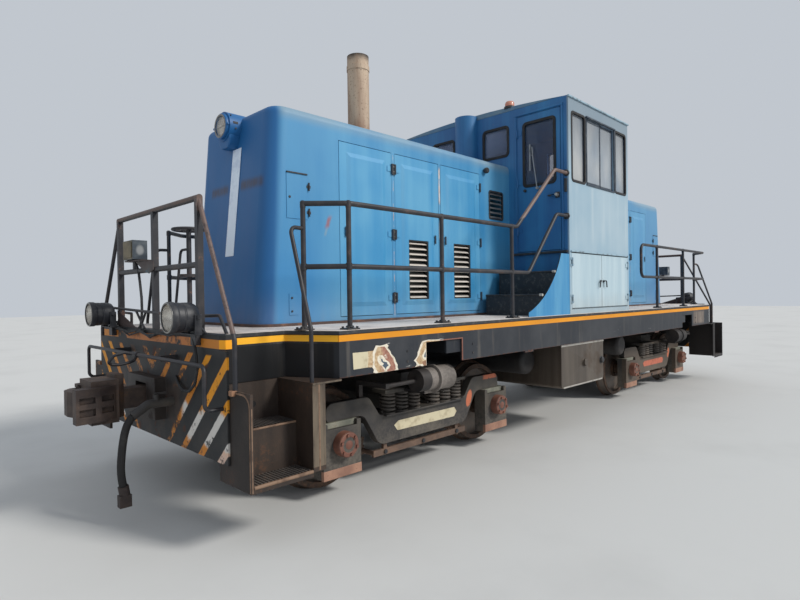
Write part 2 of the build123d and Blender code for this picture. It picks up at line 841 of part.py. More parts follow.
# Cab steps: a curved side plate, two treads and an inner plate beside each cab door

tread_one = (1150, 1878)
tread_two = (1420, 1618)
cab_step_inner_y = (690, 702)
cab_step_outer_y = (1424, 1436)
cab_step_end = 1700
cab_step_top = 2080

with BuildPart() as cab_step:
    with BuildSketch(Plane.XZ.offset(-cab_step_outer_y[1])):
        with BuildLine():
            Polyline(
                (cab_half_length, cab_step_top),
                (cab_half_length, deck_top),
                (cab_step_end, deck_top),
                (cab_step_end, deck_top + 45),
            )
            side_curve = ((cab_step_end, deck_top + 45), (1330, 1640), (1010, cab_step_top))
            ThreePointArc(*side_curve)
            Line((1010, cab_step_top), (cab_half_length, cab_step_top))
        make_face()
    extrude(amount=cab_step_outer_y[1] - cab_step_outer_y[0])
    between_y = (cab_step_inner_y[0], cab_step_outer_y[0])
    block((cab_half_length, tread_one[0]), between_y, (tread_one[1] - 12, tread_one[1]))
    block((tread_one[0] - 12, tread_one[0]), between_y, (tread_two[1] - 12, tread_one[1] - 12))
    block((tread_one[0], tread_two[0]), between_y, (tread_two[1] - 12, tread_two[1]))
    block((tread_two[0] - 12, tread_two[0]), between_y, (deck_top, tread_two[1] - 12))
    block((cab_half_length, tread_one[0]), cab_step_inner_y, (deck_top, tread_one[1]))
    block((tread_one[0], tread_two[0]), cab_step_inner_y, (deck_top, tread_two[1]))
save(half_turn_pair(cab_step.part), "cab_steps")


# Fuel tank and air reservoirs under the deck

tank_x = (-10, 1050)
tank_half_width = 1445
tank_z = (545, sill_bottom)
tank_corner = 40
reservoir_x = 1250
reservoir_radius = 150
reservoir_height = 860
reservoir_half_length = 1150

with BuildPart() as fuel_tank:
    block(tank_x, (-tank_half_width, tank_half_width), tank_z)
    fillet(fuel_tank.edges().filter_by(Axis.Y).group_by(Axis.Z)[0], tank_corner)
    for side in (1, -1):
        rod((500, side * tank_half_width, 800), (500, side * (tank_half_width + 30), 800), 45)
save(fuel_tank.part, "fuel_tank")

with BuildPart() as reservoir:
    ends = [(reservoir_x, y, reservoir_height) for y in (-reservoir_half_length, reservoir_half_length)]
    rod(*ends, reservoir_radius)
    fillet(reservoir.edges().filter_by(GeomType.CIRCLE), 50)
    for y in (-270, 270):
        hanger = (reservoir_height + reservoir_radius - 20, sill_bottom)
        block((reservoir_x - 30, reservoir_x + 30), (y - 30, y + 30), hanger)
save(half_turn_pair(reservoir.part), "air_reservoirs")


# Couplers with a turning knuckle, and the lever bars above them

shank_half = 75
yoke_half_height = 90
shank_back = 4700
head_half_height = 125
knuckle_half_height = 92
knuckle_pin = (5448, -118)
knuckle_pin_radius = 20
knuckle_pocket_radius = 92

# The lock chamber and the horn on the head: along, across, height from the middle
HEAD_BLOCKS = (
    ((5295, 5420), (-115, 155), (-152, 168)),
    ((5419, 5485), (-115, 155), (98, 168)),
    ((5419, 5485), (-115, 155), (-152, -98)),
    ((5240, 5305), (-95, 90), (100, 196)),
)

# Slots in the side of the head: along, across, height from the middle
HEAD_SLOTS = (
    ((5468, 5574), (172, 260), (18, 62)),
    ((5468, 5574), (172, 260), (-72, -20)),
    ((5335, 5425), (140, 260), (22, 64)),
    ((5335, 5425), (140, 260), (-64, -20)),
)

with BuildPart() as coupler:
    yoke_z = (coupler_height - yoke_half_height, coupler_height + yoke_half_height)
    block((draft_back, shank_back), (-draft_half_width, draft_half_width), yoke_z)
    shank_z = (coupler_height - shank_half, coupler_height + shank_half)
    block((shank_back, 5260), (-shank_half, shank_half), shank_z)
    with BuildSketch(Plane.XY.offset(coupler_height - head_half_height)):
        with BuildLine():
            Polyline(
                (5240, -90),
                (5330, -190),
                (5420, -205),
                (5500, -190),
                (5505, -100),
                (5420, -20),
                (5420, 60),
                (5480, 112),
                (5545, 112),
                (pulling_face, 120),
                (pulling_face, 206),
                (5440, 198),
                (5330, 168),
                (5240, 90),
                close=True,
            )
        make_face()
    extrude(amount=2 * head_half_height)
    for x, y, z in HEAD_BLOCKS:
        block(x, y, [coupler_height + height for height in z])
    for x, y, z in HEAD_SLOTS:
        block(x, y, [coupler_height + height for height in z], mode=Mode.SUBTRACT)
    pocket_z = (coupler_height - knuckle_half_height - 5, coupler_height + knuckle_half_height + 5)
    rod((*knuckle_pin, pocket_z[0]), (*knuckle_pin, pocket_z[1]), knuckle_pocket_radius, mode=Mode.SUBTRACT)
    block((knuckle_pin[0], 5700), (-300, 40), pocket_z, mode=Mode.SUBTRACT)
    rod((*knuckle_pin, pocket_z[0]), (*knuckle_pin, pocket_z[1]), knuckle_pin_radius)
save(half_turn_pair(coupler.part), "couplers")

with BuildPart() as knuckle:
    with BuildSketch(Plane.XY.offset(coupler_height - knuckle_half_height)):
        with BuildLine():
            Polyline(
                (5400, -165),
                (5460, -200),
                (5540, -185),
                (5590, -120),
                (pulling_face, -20),
                (5575, 60),
                (5520, 85),
                (5500, 60),
                (5515, 0),
                (5480, -45),
                (5400, -55),
                (5385, -110),
                close=True,
            )
        make_face()
    extrude(amount=2 * knuckle_half_height)
    pin_hole = [(*knuckle_pin, coupler_height + way * knuckle_half_height) for way in (-1, 1)]
    rod(*pin_hole, knuckle_pin_radius + running_gap, mode=Mode.SUBTRACT)

for end, turn in zip(ENDS, (0, 180)):
    with BuildPart() as placed_knuckle:
        with Locations(Rotation(0, 0, turn)):
            add(knuckle.part)
    save(placed_knuckle.part, f"coupler_knuckle_{end}")

lever_x = 5120
lever_height = 1195
lever_low = 905
lever_half_width = 1180
lever_radius = 14
lever_points = [
    (sheet_face, -lever_half_width, lever_low),
    (lever_x, -lever_half_width, lever_low),
    (lever_x, -lever_half_width, lever_height),
    (lever_x, lever_half_width, lever_height),
    (lever_x, lever_half_width, lever_low),
    (sheet_face, lever_half_width, lever_low),
]
lever_bar = bent_rod(lever_points, 45, lever_radius)

with BuildPart() as lever:
    add(lever_bar)
    for y in (-480, 480):
        block((sheet_face, lever_x), (y - 12, y + 12), (lever_height - 20, lever_height + 20))
save(half_turn_pair(lever.part), "uncoupling_levers")


# Air hose at the front end: the cock on the end sheet, the hanging hose and its coupling head

cock_y = 400
cock_points = [(sheet_face, cock_y, 860), (5180, cock_y, 860), (5290, cock_y, 790)]
cock_radius = 33
hose_radius = 27
hose_points = [
    (5290, cock_y, 790),
    (5345, cock_y, 755),
    (5378, cock_y - 12, 690),
    (5388, cock_y - 16, 600),
    (5380, cock_y - 22, 500),
    (5368, cock_y - 27, 400),
    (5350, cock_y - 30, 300),
]

cock_pipe = bent_rod(cock_points, 60, cock_radius)
with BuildPart() as angle_cock:
    add(cock_pipe)
    rod((5120, cock_y, 860), (5120, cock_y, 925), 24)
    block((5050, 5135), (cock_y - 12, cock_y + 12), (925, 937))
save(angle_cock.part, "angle_cock")

hose_runs = [Vector(*b) - Vector(*a) for a, b in zip(hose_points, hose_points[1:])]
hose_bends = []
for before, after in zip(hose_runs, hose_runs[1:]):
    half_turn = before.get_angle(after) / 2
    hose_bends.append(0.45 * min(before.length, after.length) / tan(radians(half_turn)))
print("hose bend radii", [round(bend) for bend in hose_bends])
brake_hose = bent_rod(hose_points, hose_bends, hose_radius)
save(brake_hose, "brake_hose")

with BuildPart() as hose_head:
    hose_end = Vector(*hose_points[-1])
    head_top = hose_end + (hose_end - Vector(*hose_points[-2])) * 0.65
    rod(hose_end, head_top, 36)
    block((5300, 5380), (cock_y - 62, cock_y - 2), (150, 235))
save(hose_head.part, "hose_coupling")


# Hand brake: a staff with a wheel and a ratchet disc on the front deck

brake_place = (4700, 60)
brake_top = 2200
brake_wheel_radius = 125
ratchet_height = 1818
brake_rod_points = [
    (brake_place[0], brake_place[1], 2040),
    (brake_place[0], brake_place[1] - 160, 2040),
    (brake_place[0] + 40, brake_place[1] - 200, 1500),
    (brake_place[0] + 40, brake_place[1] - 200, deck_top),
]
brake_rod = bent_rod(brake_rod_points, 40, 11)

with BuildPart() as hand_brake:
    rod((*brake_place, deck_top), (*brake_place, brake_top + 15), 20)
    rod((*brake_place, ratchet_height - 12), (*brake_place, ratchet_height + 12), 80)
    rod((*brake_place, deck_top), (*brake_place, deck_top + 25), 75)
    with Locations((*brake_place, brake_top)):
        Torus(brake_wheel_radius, 12)
        with PolarLocations(0, 4):
            Box(2 * brake_wheel_radius, 24, 10)
    add(brake_rod)
save(hand_brake.part, "hand_brake")


# Wheelsets: an axle with two flanged wheels, turned about the axle

WHEELSET_PROFILE = (
    (0, 0),
    (axle_radius, 0),
    (axle_radius, 640),
    (hub_radius, 640),
    (hub_radius, 718),
    (365, 700),
    (370, wheel_back),
    (436, wheel_back),
    (tread_radius + flange_depth, 687),
    (tread_radius + flange_depth, 697),
    (tread_radius + 12, 708),
    (tread_radius, 718),
    (tread_radius - 5, wheel_face),
    (365, wheel_face),
    (360, 745),
    (hub_radius, 765),
    (hub_radius, hub_face),
    (axle_radius, hub_face),
    (axle_radius, 885),
    (journal_radius, 885),
    (journal_radius, journal_end),
    (0, journal_end),
)

with BuildPart() as wheelset:
    with BuildSketch():
        with BuildLine():
            Polyline(*WHEELSET_PROFILE, close=True)
        make_face()
    revolve(axis=Axis.Y)
    mirror(about=Plane.XZ)

axle_places = [
    ("front_outer", truck_centre + half_wheelbase),
    ("front_inner", truck_centre - half_wheelbase),
    ("rear_inner", -truck_centre + half_wheelbase),
    ("rear_outer", -truck_centre - half_wheelbase),
]
for name, x in axle_places:
    with BuildPart() as placed_wheelset:
        with Locations((x, 0, axle_height)):
            add(wheelset.part)
    save(placed_wheelset.part, f"wheelset_{name}")


# Trucks, drawn about their own centre: side frames with transoms, and the bolster on the springs

frame_inner = frame_outer - frame_thickness

# Corners of half a side frame's outline: along the truck, height, radius
FRAME_CORNERS = (
    (600, frame_bottom, 120),
    (780, pad_top, 100),
    (frame_half_length, pad_top, 35),
    (frame_half_length, frame_top, 70),
    (720, frame_top, 90),
    (590, frame_seat, 55),
)

with BuildSketch() as side_outline:
    with BuildLine():
        corner_places = [(x, z) for x, z, radius in FRAME_CORNERS]
        Polyline((0, frame_bottom), *corner_places, (0, frame_seat), close=True)
    make_face()
    for x, z, radius in FRAME_CORNERS:
        corner = side_outline.vertices().sort_by_distance((x, z, 0))[0]
        fillet(corner, radius)
    mirror(about=Plane.YZ)

with BuildPart() as truck_frame:
    with BuildSketch(Plane.XZ.offset(-frame_outer)):
        add(side_outline.sketch)
    extrude(amount=frame_thickness)
    mirror(about=Plane.XZ)
    for end in (1, -1):
        transom_x = sorted((end * transom_inner, end * transom_outer))
        block(transom_x, (-frame_inner - 1, frame_inner + 1), (400, 560))
        seat_y = sorted((end * 888, end * 1052))
        block((-550, 550), seat_y, (frame_seat - 15, frame_seat))

with BuildPart() as truck_bolster:
    block((-bolster_half_length, bolster_half_length), (-880, 880), (frame_seat + 60, bolster_top))
    for side in (1, -1):
        plate_y = sorted((side * 870, side * 1050))
        block((-560, 560), plate_y, (spring_top, spring_top + 32))
    rod((0, 0, bolster_top - 130), (0, 0, bolster_top), king_pin_radius + running_gap, mode=Mode.SUBTRACT)

with BuildPart() as spring:
    coil_turns = 5
    pitch = (spring_top - frame_seat) / coil_turns
    with BuildSketch(Plane.XZ):
        with BuildLine():
            points = [(0, 0)]
            for turn in range(coil_turns):
                low = turn * pitch
                points += [
                    (spring_radius - 18, low),
                    (spring_radius, low + 0.3 * pitch),
                    (spring_radius, low + 0.7 * pitch),
                ]
            points += [(spring_radius - 18, coil_turns * pitch), (0, coil_turns * pitch)]
            Polyline(*points, close=True)
        make_face()
    revolve(axis=Axis.Z)

spring_centres = [
    (way * x, side * spring_y, frame_seat) for x in spring_places for way in (1, -1) for side in (1, -1)
]

with BuildPart() as truck_springs:
    with Locations(*spring_centres):
        add(spring.part)

box_half_width = 150
box_top = 571
box_bottom = 250
box_inner = 915
box_outer = 1070
journal_cap_radius = 100
journal_cap_outer = 1150
leg_width = 45
leg_bottom = 176

with BuildPart() as axle_box:
    block((-box_half_width, box_half_width), (box_inner, box_outer), (box_bottom, box_top))
    block((-180, 180), (box_inner, frame_outer + 25), (box_top, pad_top))
    rod((0, box_outer, axle_height), (0, journal_cap_outer, axle_height), journal_cap_radius)
    for way in (1, -1):
        leg_x = sorted((way * box_half_width, way * (box_half_width + leg_width)))
        block(leg_x, (frame_inner, box_outer), (leg_bottom, pad_top))
    tie_half = box_half_width + leg_width
    block((-tie_half, tie_half), (box_outer - 30, box_outer), (leg_bottom, box_bottom))
    bore = [(0, y, axle_height) for y in (box_inner, journal_end + 5)]
    rod(*bore, journal_radius + running_gap, mode=Mode.SUBTRACT)

box_centres = [(way * half_wheelbase, 0, 0) for way in (1, -1)]

with BuildPart() as truck_boxes:
    with Locations(*box_centres):
        add(axle_box.part)
    mirror(about=Plane.XZ)

motor_x = (transom_outer, half_wheelbase)
motor_half_width = 330
motor_z = (290, 660)
motor_nose_radius = 150

with BuildPart() as motor:
    block(motor_x, (-motor_half_width, motor_half_width), motor_z)
    nose = [(half_wheelbase, way * motor_half_width, axle_height) for way in (-1, 1)]
    rod(*nose, motor_nose_radius)
    bore = [(half_wheelbase, way * (motor_half_width + 10), axle_height) for way in (-1, 1)]
    rod(*bore, axle_radius + running_gap, mode=Mode.SUBTRACT)

with BuildPart() as truck_motors:
    add(motor.part)
    mirror(about=Plane.YZ)

cylinder_radius = 108
cylinder_y = 1300
cylinder_height = 895

# The brake cylinder's drum, flange, head and push rod: along the truck, radius
CYLINDER_LENGTHS = (
    ((20, 210), cylinder_radius),
    ((210, 235), cylinder_radius + 14),
    ((235, 440), cylinder_radius - 10),
    ((440, 790), 18),
)
beam_x = 620
beam_height = 243
shoe_y = (722, 808)

with BuildPart() as brake_side:
    for x, radius in CYLINDER_LENGTHS:
        rod(*[(along, cylinder_y, cylinder_height) for along in x], radius)
    block((150, 330), (1050, cylinder_y), (spring_top, spring_top + 25))
    arm_x = (770, 810)
    block(arm_x, (frame_inner + 20, cylinder_y + 20), (cylinder_height - 20, cylinder_height + 20))
    block(arm_x, (frame_inner + 20, frame_outer - 20), (frame_top, cylinder_height))
    mirror(about=Plane.XZ)

with BuildPart() as brake_rigging:
    for way in (1, -1):
        rod((way * beam_x, -975, beam_height), (way * beam_x, 975, beam_height), 22)
    for side in (1, -1):
        bar_y = sorted((side * 945, side * 975))
        block((-640, 640), bar_y, (215, 270))
        for x in (-500, 500):
            block((x - 20, x + 20), bar_y, (265, frame_bottom))

shoe_inner = tread_radius + 8
shoe_outer = shoe_inner + 40
shoe_angles = (190, 206, 222)


def round_the_axle(radius, angle):
    return (
        half_wheelbase + radius * cos(radians(angle)),
        axle_height + radius * sin(radians(angle)),
    )


with BuildPart() as brake_shoe:
    with BuildSketch(Plane.XZ.offset(-shoe_y[1])):
        with BuildLine():
            inner_arc = [round_the_axle(shoe_inner, angle) for angle in shoe_angles]
            outer_arc = [round_the_axle(shoe_outer, angle) for angle in shoe_angles]
            ThreePointArc(*inner_arc)
            Line(inner_arc[2], outer_arc[2])
            ThreePointArc(*outer_arc)
            Line(outer_arc[0], inner_arc[0])
        make_face()
    extrude(amount=shoe_y[1] - shoe_y[0])
    block((beam_x - 15, beam_x + 25), shoe_y, (beam_height - 35, beam_height + 45))

with BuildPart() as truck_brakes:
    add(brake_rigging.part)
    add(four_corners(brake_shoe.part))
    add(brake_side.part)

TRUCK_PIECES = (
    ("frame", (truck_frame.part, truck_bolster.part)),
    ("springs", (truck_springs.part,)),
    ("axle_boxes", (truck_boxes.part,)),
    ("motors", (truck_motors.part,)),
    ("brakes", (truck_brakes.part,)),
)
for end, turn, x in (("front", 0, truck_centre), ("rear", 180, -truck_centre)):
    for name, pieces in TRUCK_PIECES:
        with BuildPart() as placed_piece:
            with Locations(Location((x, 0, 0), (0, 0, turn))):
                for piece in pieces:
                    add(piece)
        save(placed_piece.part, f"truck_{end}_{name}")
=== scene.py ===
import json
import math

import bmesh
import bpy
from mathutils import Matrix, Vector

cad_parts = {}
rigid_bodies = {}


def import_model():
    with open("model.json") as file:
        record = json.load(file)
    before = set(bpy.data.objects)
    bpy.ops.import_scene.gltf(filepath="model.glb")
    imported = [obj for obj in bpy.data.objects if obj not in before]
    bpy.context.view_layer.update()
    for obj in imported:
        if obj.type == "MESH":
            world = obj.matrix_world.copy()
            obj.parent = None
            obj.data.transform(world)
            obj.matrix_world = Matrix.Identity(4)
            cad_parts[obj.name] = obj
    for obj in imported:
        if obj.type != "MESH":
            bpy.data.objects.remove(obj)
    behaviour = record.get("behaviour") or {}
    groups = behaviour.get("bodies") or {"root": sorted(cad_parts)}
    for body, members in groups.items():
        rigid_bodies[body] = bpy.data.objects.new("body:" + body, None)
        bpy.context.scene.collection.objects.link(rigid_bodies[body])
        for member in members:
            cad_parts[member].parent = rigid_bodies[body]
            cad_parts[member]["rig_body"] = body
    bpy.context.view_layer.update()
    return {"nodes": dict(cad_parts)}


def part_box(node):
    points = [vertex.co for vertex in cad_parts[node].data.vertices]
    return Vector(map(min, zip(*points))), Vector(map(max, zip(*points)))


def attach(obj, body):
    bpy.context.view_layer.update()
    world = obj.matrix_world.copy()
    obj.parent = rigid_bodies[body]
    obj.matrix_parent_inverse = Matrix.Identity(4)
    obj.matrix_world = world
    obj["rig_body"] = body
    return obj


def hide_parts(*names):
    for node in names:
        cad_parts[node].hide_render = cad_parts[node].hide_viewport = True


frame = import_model()

# The finish of a centre-cab diesel locomotive, in metres.
# +X points to the front end, +Y to the left side, +Z up from the floor under the wheel flanges.
# The rear half is the front half turned half round.

ENDS = {"front": 1, "rear": -1}
SIDES = {"left": 1, "right": -1}
deck_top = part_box("deck_plate")[1].z
sill_bottom = 1.043
sill_face = 1.467
hood_top = 3.237
cab_end = 0.823
cab_side = 1.44
step_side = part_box("step_wells")[1].y


def linear(colour):
    """A colour given as on a screen, from 0 to 255, made linear."""
    return [((value / 255 + 0.055) / 1.055) ** 2.4 for value in colour]


# Materials


class Signal:
    """A number that changes over a surface. Python's operators add its Math nodes."""

    def __init__(self, finish, socket):
        self.finish = finish
        self.socket = socket

    def math(self, operation, first, second):
        return self.finish.node("ShaderNodeMath", {0: first, 1: second}, operation=operation)

    def __add__(self, other):
        return self.math("ADD", self, other)

    def __radd__(self, other):
        return self.math("ADD", other, self)

    def __sub__(self, other):
        return self.math("SUBTRACT", self, other)

    def __rsub__(self, other):
        return self.math("SUBTRACT", other, self)

    def __mul__(self, other):
        return self.math("MULTIPLY", self, other)

    def __rmul__(self, other):
        return self.math("MULTIPLY", other, self)

    def __gt__(self, other):
        return self.math("GREATER_THAN", self, other)

    def __lt__(self, other):
        return self.math("LESS_THAN", self, other)

    def __abs__(self):
        return self.math("ABSOLUTE", self, 0.0)

    def step(self, low, high):
        """0 below the low value, 1 above the high one, and a soft rise between."""
        feeds = {"Value": self, "From Min": low, "From Max": high}
        return self.finish.node("ShaderNodeMapRange", feeds, interpolation_type="SMOOTHSTEP")

    def fall(self, low, high):
        """1 below the low value and 0 above the high one."""
        return 1 - self.step(low, high)

    def between(self, low, high, soft=0.002):
        """1 where the number lies between two limits."""
        return self.step(low - soft, low + soft) * self.fall(high - soft, high + soft)

    def fade(self, first, second, low, high):
        """From one colour to another between two values."""
        return self.finish.mix(first, second, self.step(low, high))

    def coat(self, colour, share):
        """This colour with a coat of another over it."""
        return self.finish.mix(self, colour, share)


class Finish:
    """A material that is built from nodes round one Principled shader."""

    def __init__(self, name):
        self.material = bpy.data.materials.new(name)
        self.material.use_nodes = True
        self.nodes = self.material.node_tree.nodes
        self.links = self.material.node_tree.links
        self.shader = self.nodes["Principled BSDF"]

    def feed(self, socket, value):
        if isinstance(value, Signal):
            self.links.new(value.socket, socket)
        elif isinstance(value, (tuple, list)) and len(value) == 3 and socket.type == "RGBA":
            socket.default_value = (*linear(value), 1)
        else:
            socket.default_value = value

    def node(self, kind, feeds=None, output=0, **settings):
        """A node of any kind: its settings first, then the values or links of its sockets."""
        made = self.nodes.new(kind)
        for setting, value in settings.items():
            setattr(made, setting, value)
        for socket, value in (feeds or {}).items():
            self.feed(made.inputs[socket], value)
        return Signal(self, made.outputs[output])

    def place(self):
        """The place on the object, as three signals."""
        coordinates = self.node("ShaderNodeTexCoord", output="Object")
        return [self.node("ShaderNodeSeparateXYZ", {0: coordinates}, output=axis) for axis in range(3)]

    def noise(self, scale, detail=5.0, roughness=0.6, stretch=(1, 1, 1), shift=(0, 0, 0)):
        coordinates = self.node("ShaderNodeTexCoord", output="Object")
        feeds = {"Vector": coordinates, "Scale": stretch, "Location": shift}
        feeds = {"Vector": self.node("ShaderNodeMapping", feeds), "Scale": scale, "Detail": detail,
                 "Roughness": roughness}
        return self.node("ShaderNodeTexNoise", feeds)

    def grains(self, scale):
        """Fine noise with sharp grains."""
        return self.noise(scale, 6, 0.7)

    def mix(self, first, second, factor):
        """A colour between two others."""
        feeds = {0: factor, 6: first, 7: second}
        return self.node("ShaderNodeMix", feeds, output=2, data_type="RGBA")

    def bump(self, height, distance, strength):
        return self.node("ShaderNodeBump", {"Height": height, "Distance": distance, "Strength": strength})

    def done(self, colour, roughness=0.5, metallic=0.0, normal=None, **fixed):
        """Sets the shader's sockets, and gives the material."""
        self.feed(self.shader.inputs["Base Color"], colour)
        self.feed(self.shader.inputs["Roughness"], roughness)
        self.feed(self.shader.inputs["Metallic"], metallic)
        if normal is not None:
            self.feed(self.shader.inputs["Normal"], normal)
        for socket, value in fixed.items():
            label = socket.replace("_", " ").title().replace("Ior", "IOR")
            self.feed(self.shader.inputs[label], value)
        return self.material


DUST = (150, 140, 126)
RUST = (96, 58, 40)
LIGHT_RUST = (140, 88, 62)
BLACK_PAINT = (36, 40, 47)
YELLOW = (248, 166, 8)
ORANGE_YELLOW = (196, 122, 34)
STRIPE_PITCH = 0.281


def blue_paint(name, colour, faded, deep=None, slats=False):
    """Sun-faded blue paint with soft vertical streaks, dust low down and a few rusty chips; when a deep
    colour is given, the nose is darkened as painted shade.
    """
    paint = Finish(name)
    x, y, z = paint.place()
    cloud = paint.noise(0.9, detail=3)
    streak = paint.noise(5, detail=3, stretch=(1, 1, 0.07))
    fade = (cloud * 0.55 + streak * 0.45).step(0.36, 0.66)
    shade = paint.mix(colour, faded, fade)
    chip_noise = paint.grains(17)
    # The raked nose gets the deep colour: painted shade on the faces turned to the front.
    nose = (abs(x) + 0.05 * (z - 2.4)).step(4.155, 4.225)
    if deep:
        shade = shade.coat(paint.mix(deep, colour, streak * 0.3), nose)
    on_nose = abs(x).step(4.2, 4.24)
    if deep:
        panel = abs(x).step(3.5, 3.95)
        shade = shade.coat((38, 118, 172), panel * (1 - nose) * 0.4)
        low = z.fall(1.75, 2.35) * panel * (1 - nose)
        shade = shade.coat((16, 116, 180), low * 0.4)
        beside = y.between(-0.36, -0.05, 0.02) + y.between(0.17, 0.52, 0.03)
        ragged = z + (cloud - 0.5) * 0.08
        smear = beside * ragged.between(2.56, 2.64, 0.03) * on_nose * (x > 0)
        hatch = paint.noise(60, detail=3, stretch=(1, 1, 0.12)).step(0.35, 0.65)
        shade = shade.coat((66, 52, 52), smear * (0.5 + 0.3 * hatch))
    top = z.step(hood_top - 0.15, hood_top - 0.02)
    shade = shade.coat((138, 156, 164), top * (1 - nose) * cloud.step(0.2, 0.6) * 0.7)
    shade = shade.coat((150, 166, 174), (x < 0) * 0.14)
    slanted = x + z * 0.4 + (chip_noise - 0.5) * 0.04
    scrape = slanted.between(4.574, 4.612, 0.014) * z.between(2.243, 2.338, 0.03) * (y > 0)
    shade = shade.coat((156, 78, 62), scrape * 0.75)
    tail = slanted.between(4.574, 4.6, 0.008) * z.between(2.17, 2.235, 0.02) * (y > 0)
    shade = shade.coat((160, 160, 140), tail * 0.3)
    speck = paint.noise(16, roughness=0.7, stretch=(1, 1, 0.3))
    bare = speck.fade((214, 206, 196), (190, 146, 108), 0.5, 0.56)
    tall = z.between(2.62, 2.995, 0.03) + z.between(2.22, 2.41, 0.02)
    column = (abs(x) + (speck - 0.5) * 0.02).between(2.152, 2.174, 0.003) * tall
    thin = abs(x).between(2.8595, 2.8665, 0.002) * z.between(1.4, 3.05)
    worn_line = column * speck.step(0.36, 0.46) + thin * speck.step(0.48, 0.54)
    shade = shade.coat(bare, worn_line * (abs(y) > 0.61) * 0.85)
    dust = z.fall(deck_top, deck_top + 0.35) * paint.noise(9, stretch=(1, 1, 0.3))
    shade = shade.coat(DUST, dust * 0.32)
    chips = chip_noise.step(0.735, 0.75)
    shade = shade.coat(LIGHT_RUST, chips * 0.85)
    if slats:
        opening = abs(x).between(2.37, 2.655) + abs(x).between(1.65, 1.935)
        opening = opening * z.between(1.592, 2.19) * abs(y).fall(0.628, 0.631)
        # Slats pale on their outer half and dark on their inner half: painted light on the slat fronts and
        # painted shade between them.
        slat_light_and_shade = abs(y).fade((78, 74, 72), (222, 214, 204), 0.607, 0.613)
        shade = shade.coat(slat_light_and_shade, opening)
    vent = abs(x).between(0.975, 1.245) * z.between(2.545, 2.865)
    shade = shade.coat((112, 114, 116), vent * abs(y).fall(0.624, 0.6265))
    near_hinge = abs(x).between(1.419, 1.461) + abs(x).between(2.824, 2.904)
    shade = shade.coat((44, 52, 60), near_hinge * abs(y).step(0.6285, 0.6295) * 0.85)
    near_latch = abs(x).between(3.47, 3.498) + abs(x).between(2.234, 2.262)
    near_latch = near_latch + abs(x).between(2.064, 2.092)
    shade = shade.coat((44, 52, 60), near_latch * abs(y).step(0.6342, 0.6348) * 0.9)
    shade = shade.coat((40, 46, 54), abs(y).step(0.6405, 0.6415) * 0.9)
    grain = paint.noise(220, detail=2)
    dents = paint.noise(2.2, detail=2)
    normal = paint.bump(grain * 0.25 + dents * 2.0 - chips * 0.5, 0.0016, 0.35)
    rough = 0.42 + 0.2 * fade + 0.2 * dust
    return paint.done(shade, rough, normal=normal, coat_weight=0.08, coat_roughness=0.35)


HOOD_BLUE = (52, 132, 182)
HOOD_FADED = (84, 152, 192)
DOOR_BLUE = (56, 140, 190)
DOOR_FADED = (92, 162, 200)
SHADED_END_BLUE = (32, 88, 142)
SHADED_NOSE_BLUE = (8, 84, 144)
PALE_BLUE = (146, 173, 189)
PALE_FADED = (163, 184, 196)


def cab_paint():
    """Pale sides, deep blue ends darkened as painted shade, and a grey inside."""
    paint = Finish("cab_paint")
    x, y, z = paint.place()
    cloud = paint.noise(1.1, detail=3)
    streak = paint.noise(7, detail=4, stretch=(1, 1, 0.06))
    # The ends run from a deeper blue to the hood blue: painted shade on the faces that turn away from the
    # sun.
    ends = (streak * 0.5 + cloud * 0.5).fade(SHADED_END_BLUE, HOOD_BLUE, 0.3, 0.85)
    sides = (cloud * 0.75 + streak * 0.25).fade(PALE_BLUE, PALE_FADED, 0.35, 0.65)
    stain = streak.step(0.52, 0.72) * z.between(2.3, 2.95, 0.12)
    sides = sides.coat((200, 210, 212), stain * 0.28)
    sides = sides.coat((110, 124, 136), z.step(2.95, 3.75) * 0.72)
    side_face = abs(y).step(cab_side - 0.03, cab_side - 0.004)
    shade = paint.mix(ends, sides, side_face)
    dust = z.fall(deck_top, deck_top + 0.3) * paint.noise(9)
    shade = shade.coat(DUST, dust * 0.45)
    chips = paint.grains(19).step(0.735, 0.75)
    shade = shade.coat(LIGHT_RUST, chips * 0.8)
    inside = (abs(x) < cab_end - 0.045) * (abs(y) < cab_side - 0.045)
    shade = shade.coat((120, 124, 122), inside)
    grain = paint.noise(200, detail=2)
    dents = paint.noise(1.9, detail=2)
    normal = paint.bump(grain * 0.25 + dents * 2.2, 0.0016, 0.35)
    return paint.done(shade, 0.45 + 0.15 * cloud, normal=normal, coat_weight=0.06, coat_roughness=0.4)


def pale_paint(name):
    paint = Finish(name)
    x, y, z = paint.place()
    streak = paint.noise(8, detail=4, stretch=(1, 1, 0.08))
    shade = streak.fade((168, 191, 202), (184, 203, 211), 0.35, 0.65)
    dust = z.fall(deck_top, deck_top + 0.3) * paint.noise(10)
    shade = shade.coat(DUST, dust * 0.5)
    edge_grime = abs(abs(x) - 0.39).step(0.375, 0.387) * streak
    shade = shade.coat((90, 100, 104), edge_grime * 0.6)
    chips = paint.grains(23).step(0.72, 0.74)
    shade = shade.coat(LIGHT_RUST, chips * 0.8)
    return paint.done(shade, 0.5, normal=paint.bump(paint.noise(200, detail=2) * 0.25 + streak, 0.0014, 0.35))


def roof_paint():
    paint = Finish("roof_paint")
    cloud = paint.noise(2.2)
    shade = cloud.fade((70, 112, 146), (118, 140, 150), 0.35, 0.7)
    spots = paint.grains(14).step(0.66, 0.7)
    shade = shade.coat(RUST, spots * 0.6)
    return paint.done(shade, 0.6, normal=paint.bump(paint.noise(60, detail=4), 0.002, 0.4))


